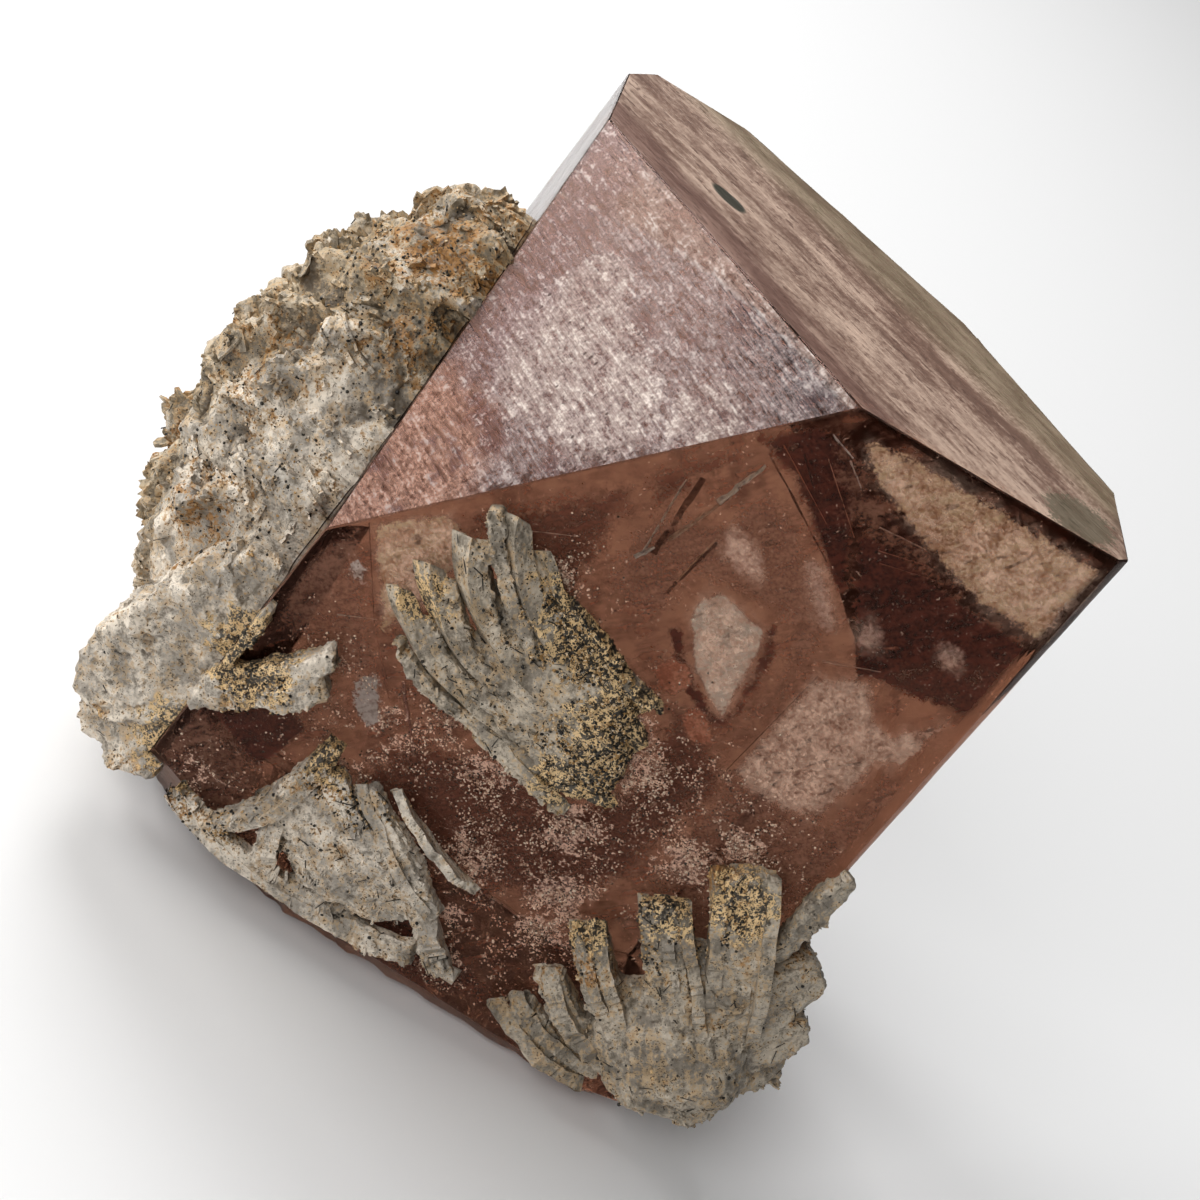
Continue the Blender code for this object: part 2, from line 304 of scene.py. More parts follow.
def on_front(x, z, out=0.0):
    """The point at x and z that stands out from the front prism face."""
    normal = direction(*FRONT_PRISM[:2])
    y = (FRONT_PRISM[2] - normal.x * x - normal.z * z) / normal.y
    return Vector((x, y, z)) + normal * out


def behind_front(x, z, depth, refraction):
    """The point inside that shows at x and z on the front face, at a depth below it."""
    normal = direction(*FRONT_PRISM[:2])
    spot = on_front(x, z)
    sight = (spot - EYE).normalized()
    bend = 1.0 / refraction
    facing = -normal.dot(sight)
    inner = sight * bend + normal * (bend * facing - math.sqrt(1.0 - bend * bend * (1.0 - facing * facing)))
    return spot + inner * (depth / -normal.dot(inner))


class Wire:
    """A shader socket that can be added, multiplied and compared like a number."""

    def __init__(self, sheet, socket):
        self.sheet = sheet
        self.socket = socket

    def made(self, operation, *values):
        return self.sheet.add("ShaderNodeMath", {"operation": operation}, dict(enumerate(values)))

    def __add__(self, other):
        return self.made("ADD", self, other)

    def __radd__(self, other):
        return self.made("ADD", other, self)

    def __sub__(self, other):
        return self.made("SUBTRACT", self, other)

    def __rsub__(self, other):
        return self.made("SUBTRACT", other, self)

    def __mul__(self, other):
        return self.made("MULTIPLY", self, other)

    def __rmul__(self, other):
        return self.made("MULTIPLY", other, self)

    def __truediv__(self, other):
        return self.made("DIVIDE", self, other)

    def over(self, low, high):
        """Rises smoothly from 0 at low to 1 at high."""
        return self.sheet.add(
            "ShaderNodeMapRange",
            {"interpolation_type": "SMOOTHSTEP"},
            {"Value": self, "From Min": low, "From Max": high},
        )

    def most(self, other):
        return self.made("MAXIMUM", self, other)

    def least(self, other):
        return self.made("MINIMUM", self, other)

    def size(self):
        return self.made("ABSOLUTE", self)

    def near(self, value, within=0.5):
        return self.made("COMPARE", self, value, within)


class Sheet:
    """A material's node tree, with the one method that adds nodes to it."""

    def __init__(self, name):
        self.material = bpy.data.materials.new(name)
        self.material.use_nodes = True
        self.tree = self.material.node_tree
        self.tree.nodes.clear()
        place = self.add("ShaderNodeTexCoord", out="Object")
        moved = self.vector("SUBTRACT", place, SHIFT)
        self.place = self.vector("SCALE", moved, None, 1.0 / MM)

    def add(self, kind, settings=None, values=None, out=0):
        """Adds a node: its settings first, then the values or links of its sockets."""
        node = self.tree.nodes.new(kind)
        for name, value in (settings or {}).items():
            if name == "stops":
                self.set_stops(node.color_ramp, value)
            else:
                setattr(node, name, value)
        for name, value in (values or {}).items():
            if isinstance(value, Wire):
                self.tree.links.new(value.socket, node.inputs[name])
            elif value is not None:
                node.inputs[name].default_value = value
        return Wire(self, node.outputs[out])

    def set_stops(self, ramp, stops):
        """Gives a colour ramp its stops: place and colour."""
        while len(ramp.elements) < len(stops):
            ramp.elements.new(0.5)
        for element, (spot, colour) in zip(ramp.elements, stops):
            element.position = spot
            element.color = (*colour, 1.0)

    def vector(self, operation, first, second=None, scale=None):
        """Vector maths."""
        values = {0: first, 1: second}
        if scale is not None:
            values = {0: first, "Scale": scale}
        return self.add("ShaderNodeVectorMath", {"operation": operation}, values)

    def along(self, axis, place=None):
        """How far a place lies along an axis."""
        source = place or self.place
        dot = self.add("ShaderNodeVectorMath", {"operation": "DOT_PRODUCT"}, {0: source, 1: axis}, "Value")
        return dot

    def blend(self, share, first, second):
        """Mixes two colours."""
        return self.add(
            "ShaderNodeMix",
            {"data_type": "RGBA"},
            {0: share, 6: padded(first), 7: padded(second)},
            2,
        )

    def noise(self, scale, detail=3.0, rough=0.55, place=None, twist=0.0):
        """Smooth noise from 0 to 1, with its scale in steps for each millimetre."""
        return self.add(
            "ShaderNodeTexNoise",
            None,
            {
                "Vector": place or self.place,
                "Scale": scale,
                "Detail": detail,
                "Roughness": rough,
                "Distortion": twist,
            },
        )

    def cells(self, scale, place=None, twist=0.0):
        """Distance to the nearest of scattered points, in cells, with the cells bent by noise."""
        source = place or self.place
        if twist:
            wave = self.add("ShaderNodeTexNoise", None, {"Vector": source, "Scale": scale}, "Color")
            source = self.vector("ADD", source, self.vector("SCALE", wave, None, twist))
        return self.add(
            "ShaderNodeTexVoronoi", None, {"Vector": source, "Scale": scale}, "Distance"
        )

    def stretched(self, axis, amount):
        """The place with distances along an axis made shorter, for streaks along it."""
        far = self.along(axis)
        pull = self.vector("SCALE", axis, None, far * amount)
        return self.vector("SUBTRACT", self.place, pull)

    def stretched_at(self, centre, axis, amount):
        """The place with distances from a centre along an axis made shorter."""
        far = self.along(axis) - axis.dot(centre)
        return self.vector("SUBTRACT", self.place, self.vector("SCALE", axis, None, far * amount))

    def spot(self, centre, radius, place=None):
        """1 at the middle of a ball and 0 at its skin."""
        source = place or self.place
        away = self.add("ShaderNodeVectorMath", {"operation": "DISTANCE"}, {0: source, 1: centre}, "Value")
        return 1.0 - away.over(radius * 0.35, radius)

    def facet(self, number):
        """1 on one of the crystal's faces."""
        return self.attribute("facet").near(float(number))

    def attribute(self, name):
        return self.add("ShaderNodeAttribute", {"attribute_name": name}, None, "Fac")

    def bump(self, height, strength, distance):
        """A normal from a height in millimetres."""
        return self.add(
            "ShaderNodeBump",
            None,
            {"Height": height, "Strength": strength, "Distance": distance * MM},
        )

    def principled(self, **values):
        named = {name.replace("_", " "): value for name, value in values.items()}
        return self.add("ShaderNodeBsdfPrincipled", None, named)

    def mixed(self, share, first, second):
        return self.add("ShaderNodeMixShader", None, {0: share, 1: first, 2: second})

    def out(self, surface, volume=None):
        self.add_output({"Surface": surface, "Volume": volume})
        return self.material

    def add_output(self, values):
        node = self.tree.nodes.new("ShaderNodeOutputMaterial")
        for name, value in values.items():
            if value is not None:
                self.tree.links.new(value.socket, node.inputs[name])


def padded(colour):
    """A colour with its fourth number, or a wire as it is."""
    if isinstance(colour, Wire):
        return colour
    return (*colour[:3], 1.0)


def new_object(mesh, name):
    """Turns a bmesh into an object, still in millimetres."""
    data = bpy.data.meshes.new(name)
    mesh.to_mesh(data)
    mesh.free()
    piece = bpy.data.objects.new(name, data)
    bpy.context.scene.collection.objects.link(piece)
    return piece


def finish_piece(piece, materials, nodes=(), smooth=True, crease=38.0):
    """Brings a piece to the frame, and says what it is made of and what it stands for."""
    piece.data.transform(TO_FRAME)
    piece.data.materials.clear()
    for material in materials:
        piece.data.materials.append(material)
    if smooth:
        piece.data.shade_smooth()
        piece.data.set_sharp_from_angle(angle=math.radians(crease))
    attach(piece, "root")
    if nodes:
        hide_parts(*nodes)
    return piece


def sliced(mesh, step):
    """Divides every face of a mesh by even planes across the three axes."""
    for axis in range(3):
        low = min(vert.co[axis] for vert in mesh.verts)
        high = max(vert.co[axis] for vert in mesh.verts)
        normal = Vector([1.0 if index == axis else 0.0 for index in range(3)])
        count = int((high - low) / step)
        for number in range(1, count + 1):
            spot = low + (high - low) * (number - 0.37) / (count + 0.3)
            everything = mesh.verts[:] + mesh.edges[:] + mesh.faces[:]
            bmesh.ops.bisect_plane(
                mesh, geom=everything, dist=1e-4, plane_co=normal * spot, plane_no=normal
            )


def dome_place(point):
    """Where a point lies on the front dome: across it and up its slope."""
    azimuth, tilt = math.radians(FRONT_DOME[0]), math.radians(FRONT_DOME[1])
    across = Vector((-math.sin(azimuth), math.cos(azimuth), 0.0))
    upward = Vector(
        (-math.sin(tilt) * math.cos(azimuth), -math.sin(tilt) * math.sin(azimuth), math.cos(tilt))
    )
    return across.dot(point), upward.dot(point)


def dome_axes():
    """The two axes of dome_place."""
    across = Vector([dome_place(axis)[0] for axis in (Vector((1, 0, 0)), Vector((0, 1, 0)), Vector((0, 0, 1)))])
    upward = Vector([dome_place(axis)[1] for axis in (Vector((1, 0, 0)), Vector((0, 1, 0)), Vector((0, 0, 1)))])
    return across, upward


def dome_relief(point):
    """Etch ripples and the growth step on the front dome."""
    across, upward = dome_place(point)
    edge = STEP_TOP - STEP_BEND * (across - STEP_END) ** 2 + 0.35 * noise.noise(point * 0.9)
    raised = min(max((upward - edge) / 0.4, 0.0), 1.0)
    return 0.05 * noise.noise(point * 0.8) + 0.03 * noise.noise(point * 2.1) + 0.09 * raised


def top_relief(point):
    """Low ridges along the top face."""
    far = STREAK_AXIS.dot(point)
    place = point - STREAK_AXIS * (far * 0.85)
    return 0.10 * noise.noise(place * 0.55) + 0.05 * noise.noise(place * 1.5)


def broken_relief(point):
    """The hackly surface of the broken foot, never below where it rests."""
    rough = noise.fractal(point * 0.45, 0.7, 2.1, 4)
    ledge = abs(noise.noise(point * 0.8 + Vector((4.0, 0.0, 9.0))))
    return -0.25 * abs(rough) - 0.35 * ledge


def plain_relief(point):
    """The faint waves of a growth face."""
    return 0.025 * noise.noise(point * 0.5) + 0.01 * noise.noise(point * 1.9)


RELIEFS = {DOME: dome_relief, TOP: top_relief, BOTTOM: broken_relief, BROKEN: broken_relief}


def facet_of(face, normals):
    """Which growth face a small face belongs to."""
    for number, normal in enumerate(normals):
        if face.normal.dot(normal) > 0.9995:
            return number
    if face.normal.z < -0.2:
        return BROKEN
    return -1


def nearness(point, spots):
    """How near a point is to the nearest of some spots: place, reach and strength."""
    return max(dense * min(max(1.0 - (point - spot).length / reach, 0.0), 1.0) for spot, reach, dense in spots)


def grow_crystal(settings):
    """The crystal with worn edges and the relief of each face."""
    mesh, _ = crystal_mesh()
    bmesh.ops.bevel(
        mesh,
        geom=mesh.edges[:],
        offset=settings.worn_edge / MM,
        segments=2,
        profile=0.5,
        affect="EDGES",
        material=-1,
    )
    sliced(mesh, settings.facet_step / MM)
    normals = [direction(*face[:2]) for face in GROWTH_FACES]
    mesh.normal_update()
    layer = mesh.faces.layers.float.new("facet")
    for face in mesh.faces:
        face[layer] = float(facet_of(face, normals))
    crusted = mesh.verts.layers.float.new("crusted")
    hazy = mesh.verts.layers.float.new("hazy")
    moves = []
    for vert in mesh.verts:
        vert[hazy] = hazy_at(vert.co)
        vert[crusted] = nearness(vert.co, [(on_front(x, z), reach, dense) for x, z, reach, dense in CRUST_SPOTS])
        shares = [RELIEFS.get(round(face[layer]), plain_relief)(vert.co) for face in vert.link_faces]
        kinds = {round(face[layer]) for face in vert.link_faces}
        fade = 1.0 if len(kinds) == 1 else 0.35
        moves.append(vert.normal * (fade * sum(shares) / len(shares)))
    for vert, move in zip(mesh.verts, moves):
        vert.co += move
        vert.co.z = max(vert.co.z, -BASE[2])
    return new_object(mesh, "topaz_body")


def dome_point(across, upward):
    """The point on the front dome at a place across it and up its slope."""
    across_axis, upward_axis = dome_axes()
    return across_axis * across + upward_axis * upward + direction(*FRONT_DOME[:2]) * FRONT_DOME[2]


# Two corners of the dome: the apex by the top face, and the foot by the left face.
DOME_APEX, DOME_FOOT = (-13.9, 35.5), (-5.6, 13.1)


def dome_finish(sheet, sheen):
    """Colour, share and height of the etched dome face. Its colour is partly painted sheen, with painted shade in its
    pits and nicks and a painted highlight along the growth step.
    """
    across_axis, upward_axis = dome_axes()
    across = sheet.along(across_axis)
    upward = sheet.along(upward_axis)
    from_end = across - STEP_END
    wander = sheet.noise(0.8, 2.0)
    edge = STEP_TOP - STEP_BEND * from_end * from_end + 0.9 * (wander - 0.5)
    above = (upward - edge).over(-0.1, 0.3)
    step = 1.0 - (upward - edge).size().over(0.03, 0.16)

    clouds = sheet.noise(0.40, 3.0, 0.70)
    mottle = sheet.noise(1.3, 3.0, 0.82)
    grain = sheet.noise(5.2, 2.0, 0.7)
    ripples = sheet.noise(4.2, 2.0, 0.65, sheet.stretched(across_axis, 0.84))
    pale = sheet.spot(dome_point(-5.4, 27.0), 5.2).most(sheet.spot(dome_point(-1.6, 27.6), 4.4))
    pale = pale.most(sheet.spot(dome_point(2.4, 30.6), 3.2) * 0.7).most(sheet.spot(dome_point(-6.5, 29.8), 3.0) * 0.9)
    pale = (pale + (mottle - 0.5) * 1.0 + (clouds - 0.5) * 1.3).over(0.22, 0.80)
    from_left = (across - DOME_APEX[0]) * 0.937 + (upward - DOME_APEX[1]) * 0.347
    from_front = (upward - DOME_FOOT[1]) * 0.4715 - (across - DOME_FOOT[0]) * 0.882
    corner = (sheet.spot(dome_point(-6.8, 16.5), 9.0) + (clouds - 0.5) * 1.1).over(0.15, 0.75)
    left = 1.0 - (from_left + (clouds - 0.5) * 4.0).over(1.5, 4.5)
    dusk = (clouds + (mottle - 0.5) * 0.7).over(0.48, 0.66)
    # The etch pits and the nicks along the lower edge are painted shade: dark marks without hollows in the mesh.
    pit_field = sheet.spot(dome_point(-3.5, 25.0), 9.5) + sheet.spot(dome_point(-9.4, 26.5), 4.5) * 0.6
    pit_place = sheet.stretched(upward_axis, 0.45)
    pits = (1.0 - sheet.cells(2.3, pit_place).over(0.12, 0.20)) * pit_field
    pits = (pits * mottle.over(0.44, 0.54)).least(1.0)
    nicks = (1.0 - from_front.over(0.1, 1.5)) * sheet.spot(dome_point(-0.5, 24.0), 6.5)
    nicks = nicks * sheet.noise(2.2, 2.0, 0.6, pit_place).over(0.50, 0.58)

    tone = (mottle - 0.5) * 1.5 + (grain - 0.5) * 1.0 + (ripples - 0.5) * 1.4
    colour = sheet.blend(dusk, sheen, (0.245, 0.180, 0.195))
    colour = sheet.blend(pale * (0.55 + tone), colour, (0.52, 0.435, 0.385))
    colour = sheet.blend(above * 0.8, colour, (0.40, 0.29, 0.24))
    colour = sheet.blend(left * 0.7, colour, (0.26, 0.175, 0.185))
    colour = sheet.blend(corner * 0.9, colour, sheet.blend(dusk, (0.70, 0.43, 0.33), (0.32, 0.18, 0.17)))
    colour = sheet.blend((tone - 0.02).over(0.0, 0.5) * 0.6, colour, (0.80, 0.72, 0.67))
    colour = sheet.blend((-0.04 - tone).over(0.0, 0.5) * 0.7, colour, (0.15, 0.095, 0.095))
    # Painted shade in the pits and nicks.
    colour = sheet.blend(pits.most(nicks) * 0.9, colour, (0.055, 0.022, 0.017))
    # A pale line along the growth step: painted highlight where the step's edge catches the light.
    colour = sheet.blend(step * wander.over(0.45, 0.6) * 0.6, colour, (0.80, 0.74, 0.70))
    share = 0.46 + 0.24 * pale + 0.12 * above + 0.5 * tone - 0.10 * dusk - 0.06 * corner + pits * 0.3
    height = ripples * 2.2
    return colour, share, height


TOP_NEAR_EDGE = (Vector((0.589, 0.808, 0.0)), -2.13)
TOP_FAR_EDGE = (Vector((0.502, 0.865, 0.0)), 8.68)
TOP_SLOT = Vector((-6.3, 6.05, 42.4))
TOP_STAIN = Vector((14.8, -2.9, 42.8))


def top_finish(sheet):
    """Colour, share and height of the streaked top face, whose colour is partly painted sheen for the backdrop it
    reflects.
    """
    drawn = sheet.stretched(STREAK_AXIS, 0.86)
    streaks = sheet.noise(1.5, 3.0, 0.82, drawn)
    dashes = sheet.noise(3.2, 2.0, 0.6, sheet.stretched(STREAK_AXIS, 0.70)).over(0.60, 0.66)
    broad = sheet.noise(0.5, 2.0, 0.65, sheet.stretched(STREAK_AXIS, 0.7))
    fine = sheet.noise(3.8, 2.0, 0.76)
    from_near = sheet.along(TOP_NEAR_EDGE[0]) - TOP_NEAR_EDGE[1] + (broad - 0.5) * 3.0
    from_far = TOP_FAR_EDGE[1] - sheet.along(TOP_FAR_EDGE[0]) + (fine - 0.5) * 2.2
    slot = sheet.spot(TOP_SLOT, 0.75, sheet.stretched_at(TOP_SLOT, STREAK_AXIS, 0.62)).over(0.25, 0.7)
    stain = (sheet.spot(TOP_STAIN, 3.0) + (fine - 0.5) * 1.6).over(0.45, 0.8)
    tone = (broad - 0.5) * 1.0 + (streaks - 0.5) * 1.1 + (fine - 0.5) * 0.6

    colour = sheet.blend((tone + 0.5).over(0.25, 0.75), (0.37, 0.228, 0.172), (0.67, 0.505, 0.405))
    colour = sheet.blend((1.0 - from_near.over(0.6, 2.4)) * 0.75, colour, (0.27, 0.145, 0.115))
    colour = sheet.blend(dashes * 0.75, colour, (0.14, 0.075, 0.055))
    green = (1.0 - from_far.over(0.3, 2.6)) * (0.35 + fine).least(1.0)
    colour = sheet.blend(green * 0.8, colour, (0.19, 0.155, 0.09))
    colour = sheet.blend(stain * 0.8, colour, (0.10, 0.09, 0.055))
    colour = sheet.blend(slot * 0.95, colour, (0.025, 0.03, 0.018))
    share = (0.62 + 0.5 * tone + green * 0.25 + slot + stain * 0.4 + dashes * 0.2).least(0.95)
    return colour, share, streaks * 1.8


# The faint frost on the front face over the pale places inside: its colour, share, kinds and how soft its edge is.
HAZE = (0.86, 0.60, 0.46)
HAZE_SHARE = 0.42
HAZY_KINDS = ("window", "tan", "speckled", "rose")
HAZE_EDGE = 0.5


def hazy_at(point):
    """How hazy the front face is at a point: 1 well inside a pale place, 0 outside them all."""
    kinds = [kind for kind in HAZY_KINDS if kind in ZONES]
    depths = [depth_within(point.x, point.z, outline) for kind in kinds for outline in ZONES[kind]]
    return min(max(max(depths) / HAZE_EDGE, 0.0), 1.0)


def front_finish(sheet):
    """Colour, share and height of the thin crust on the front face."""
    crusted = sheet.attribute("crusted")
    grain = sheet.noise(5.2, 2.0, 0.76)
    patch = sheet.noise(1.1, 3.0, 0.82)
    film = (patch + (crusted - 0.5) * 0.5 + (grain - 0.5) * 0.6).over(0.56, 0.63)
    share = film * 0.80 * crusted.over(0.02, 0.22)
    colour = sheet.blend(grain.over(0.38, 0.60), (0.10, 0.040, 0.026), (0.64, 0.43, 0.33))
    colour = sheet.blend((sheet.noise(7.0, 1.0) - 0.05).over(0.58, 0.62), colour, (0.04, 0.022, 0.016))
    dust = (sheet.noise(8.0, 1.0, 0.5) - 0.02).over(0.66, 0.70) * 0.5
    share = share.most(dust * patch.over(0.4, 0.6))
    hazy = sheet.attribute("hazy") * (0.62 + (patch - 0.5) * 3.0 + (grain - 0.5) * 2.6)
    colour = sheet.blend(film, HAZE, colour)
    share = (hazy * HAZE_SHARE).most(share)
    return colour, share, sheet.noise(0.8, 0.0) * 0.2


def skinned(sheet, settings, colour, share, height, roughness):
    """Clear topaz under a skin that scatters a share of the light."""
    normal = sheet.bump(height, 0.45, 0.12)
    glass = sheet.principled(
        Base_Color=(0.98, 0.955, 0.94, 1.0),
        Roughness=roughness,
        IOR=settings.refraction,
        Transmission_Weight=1.0,
        Specular_Tint=(*settings.gloss, 1.0),
        Normal=normal,
    )
    veil = sheet.principled(Base_Color=colour, Roughness=0.5, Normal=normal)
    return sheet.mixed(share.least(0.95).most(0.0), glass, veil)


def topaz_material(settings):
    """Clear topaz with an etched dome, a streaked top, a crusted front and a broken foot."""
    sheet = Sheet("clear_topaz")
    frosted = sheet.noise(0.5, 2.0, 0.75).over(0.45, 0.7)
    plain_colour = (0.42, 0.26, 0.20, 1.0)
    plain_height = sheet.noise(2.6, 0.0, 0.6) * 0.1
    surface = skinned(sheet, settings, plain_colour, 0.05 + 0.16 * frosted, plain_height, 0.05)
    broken_height = sheet.noise(2.6, 2.0, 0.7) * 1.5
    broken = skinned(sheet, settings, plain_colour, 0.08 + 0.2 * frosted, broken_height, 0.35)
    surface = sheet.mixed(sheet.facet(BOTTOM).most(sheet.facet(BROKEN)), surface, broken)
    surface = sheet.mixed(sheet.facet(FRONT), surface, skinned(sheet, settings, *front_finish(sheet), 0.05))
    surface = sheet.mixed(sheet.facet(TOP), surface, skinned(sheet, settings, *top_finish(sheet), 0.28))
    dome = skinned(sheet, settings, *dome_finish(sheet, settings.sheen), 0.18)
    surface = sheet.mixed(sheet.facet(DOME), surface, dome)
    volume = sheet.add(
        "ShaderNodeVolumeAbsorption",
        None,
        {"Color": (*settings.glow, 1.0), "Density": settings.density},
    )
    return sheet.out(surface, volume)


class TOPAZ_OT_crystal(bpy.types.Operator):
    """Grow the clear crystal"""

    bl_idname = "topaz.crystal"
    bl_label = "Crystal"

    def execute(self, context):
        settings = context.scene.topaz_settings
        piece = grow_crystal(settings)
        finish_piece(piece, [topaz_material(settings)], ["topaz_crystal"], crease=24.0)
        return {"FINISHED"}


# Kinds of fractured stone and trapped fluid inside the crystal, with painted shade, painted light and painted glints
# among them: their darker and lighter colours, how much light they scatter, how wide and how ragged their edges are,
# and how strongly they are dashed with black.
Kind = namedtuple("Kind", "dark light share soft ragged dashes")
KINDS = {
    # The dusk and dark kinds are painted shade where little light comes through the crystal.
    "dusk": Kind((0.10, 0.022, 0.012), (0.30, 0.11, 0.065), 0.84, 1.3, 1.5, 0.2),
    "dark": Kind((0.055, 0.009, 0.005), (0.19, 0.042, 0.022), 0.95, 0.4, 0.6, 0.2),
    "brown": Kind((0.30, 0.13, 0.085), (0.60, 0.35, 0.25), 0.66, 1.0, 1.3, 0.5),
    "rose": Kind((0.52, 0.30, 0.25), (0.80, 0.57, 0.49), 0.74, 0.5, 0.5, 0.3),
    "speckled": Kind((0.52, 0.31, 0.23), (0.92, 0.70, 0.57), 0.86, 0.35, 0.6, 0.9),
    # The tan and window kinds are pale veils, partly painted light where light comes through.
    "tan": Kind((0.72, 0.42, 0.24), (1.0, 0.82, 0.56), 0.94, 0.35, 0.6, 0.7),
    "window": Kind((0.95, 0.74, 0.60), (1.0, 0.96, 0.85), 0.97, 0.25, 0.25, 0.6),
    "salmon": Kind((0.64, 0.22, 0.12), (0.92, 0.48, 0.32), 0.88, 0.25, 0.3, 0.2),
    # The glitter kind is painted glints.
    "glitter": Kind((0.65, 0.58, 0.54), (1.0, 0.97, 0.94), 0.95, 0.3, 0.8, 0.0),
}
# Where each kind shows: outlines in x and z on the front face.
ZONES = {
    "dark": (
        ((7.0, 38.0), (9.5, 38.1), (12.5, 37.7), (17.0, 37.6), (17.2, 34.2), (16.6, 32.6), (11.4, 31.5), (9.2, 34.5)),
        ((1.2, 38.8), (3.1, 41.1), (4.6, 41.1), (6.5, 40.1), (7.0, 38.2), (9.3, 33.8), (5.2, 36.9), (3.5, 38.2)),
        ((6.7, 31.1), (7.2, 31.6), (8.1, 30.2), (8.5, 26.0), (8.2, 24.8), (7.7, 25.4), (7.9, 26.6), (7.3, 30.0)),
        ((3.0, 28.3), (3.8, 28.8), (5.4, 27.0), (8.1, 25.4), (7.9, 24.7), (6.8, 25.0), (5.1, 26.0)),
        ((-12.4, 9.7), (-9.4, 13.0), (-7.8, 12.0), (-8.9, 7.8)),
    ),
    "dusk": (
        ((-2.2, 34.1), (1.0, 38.5), (1.9, 37.6), (0.9, 35.6), (0.3, 33.5), (-0.4, 32.7)),
        ((-8.0, 27.4), (-4.3, 31.5), (-1.9, 34.2), (-1.1, 33.1), (-0.6, 26.2), (-3.0, 25.6), (-6.9, 27.0)),
        (
            (4.0, 25.3), (7.4, 25.2), (10.4, 22.9), (10.0, 19.3), (9.4, 14.4), (8.0, 11.1), (4.0, 9.0),
            (-1.0, 8.6), (-5.0, 11.0), (-4.0, 15.0), (0.0, 16.6), (4.6, 17.0), (6.6, 20.4), (5.5, 23.9),
        ),
        ((7.6, 40.2), (8.6, 41.7), (10.2, 41.6), (10.7, 40.2), (9.6, 39.3)),
        ((10.9, 40.7), (11.8, 41.6), (13.2, 41.2), (12.8, 39.9), (11.4, 39.6)),
        ((-6.0, 4.0), (-1.0, 6.0), (5.0, 5.0), (9.0, 3.0), (4.0, 0.8), (-4.0, 0.8)),
    ),
    "brown": (
        (
            (-1.0, 31.8), (0.2, 33.6), (2.0, 34.6), (3.0, 37.6), (5.2, 36.7), (9.4, 33.2), (9.8, 29.0),
            (9.4, 25.4), (8.6, 25.2), (8.4, 29.6), (7.4, 31.8), (3.0, 31.2), (3.0, 28.2), (-0.4, 27.8),
        ),
        ((-12.9, 22.2), (-10.9, 24.2), (-8.8, 21.0), (-6.0, 16.8), (-8.3, 15.6), (-12.4, 16.4)),
        ((3.5, 41.2), (5.0, 41.5), (7.4, 39.8), (12.9, 38.3), (17.1, 38.1), (17.0, 37.4), (12.9, 37.4), (6.4, 37.8)),
        ((-15.7, 6.7), (-13.1, 9.9), (-9.1, 8.7), (-6.3, 5.4), (-7.9, 2.4), (-11.5, 2.6)),
        ((9.8, 23.4), (14.8, 24.0), (15.2, 28.0), (17.0, 29.0), (17.2, 20.0), (15.0, 12.0), (10.0, 14.0)),
    ),
    "rose": (
        ((2.5, 34.3), (3.5, 34.7), (4.8, 34.2), (5.7, 33.1), (4.2, 32.6), (3.1, 33.1)),
        ((6.3, 35.6), (7.2, 35.5), (9.4, 33.2), (9.2, 32.4), (8.4, 32.8), (6.4, 34.7)),
        ((13.5, 34.5), (13.4, 35.4), (14.0, 35.9), (14.8, 35.5), (14.9, 34.7), (14.3, 34.1)),
        ((9.9, 33.6), (9.9, 34.3), (10.9, 34.4), (11.6, 33.9), (11.4, 33.1), (10.5, 32.8)),
    ),
    "speckled": (
        (
            (10.1, 30.5), (12.4, 31.8), (13.3, 30.2), (14.5, 29.9), (16.3, 32.7), (15.9, 28.5),
            (14.9, 28.2), (14.5, 23.7), (12.9, 23.0), (10.9, 22.9), (9.7, 23.5),
        ),
    ),
    "tan": (
        ((4.6, 41.7), (7.7, 42.3), (17.0, 42.6), (17.2, 38.0), (13.6, 37.9), (9.5, 39.0), (6.6, 40.2)),
        ((-10.6, 24.4), (-7.9, 27.3), (-6.7, 26.8), (-6.2, 25.6), (-6.5, 22.1), (-7.3, 19.0), (-8.6, 21.1)),
    ),
    "window": (
        ((3.6, 30.5), (4.2, 31.5), (6.8, 31.0), (7.3, 30.0), (7.8, 26.4), (8.0, 25.4), (5.4, 27.0), (3.7, 29.4)),
    ),
    "salmon": (
        ((3.7, 26.1), (4.2, 27.1), (5.1, 27.2), (5.9, 26.3), (5.4, 25.1), (4.5, 25.1)),
        ((6.0, 25.2), (7.1, 25.6), (8.4, 24.3), (7.7, 23.4), (6.6, 23.9)),
        ((11.5, 33.3), (11.9, 34.1), (12.4, 34.0), (11.9, 33.3)),
    ),
    "glitter": (
        ((-7.3, 16.5), (-6.8, 17.3), (-6.0, 16.7), (-5.1, 14.8), (-5.4, 13.8), (-6.8, 14.6)),
        ((-10.7, 21.7), (-10.3, 22.4), (-9.5, 22.0), (-9.4, 21.3), (-10.2, 20.9)),
        ((16.2, 40.0), (16.8, 41.6), (17.3, 41.4), (17.0, 38.6)),
    ),
}
LAYER_DEPTH = 1.1
LAYER_STEP = 0.27
LAYER_BOX = (-17.0, 17.8, 0.3, 42.9)
LAYER_MARGIN = 0.35
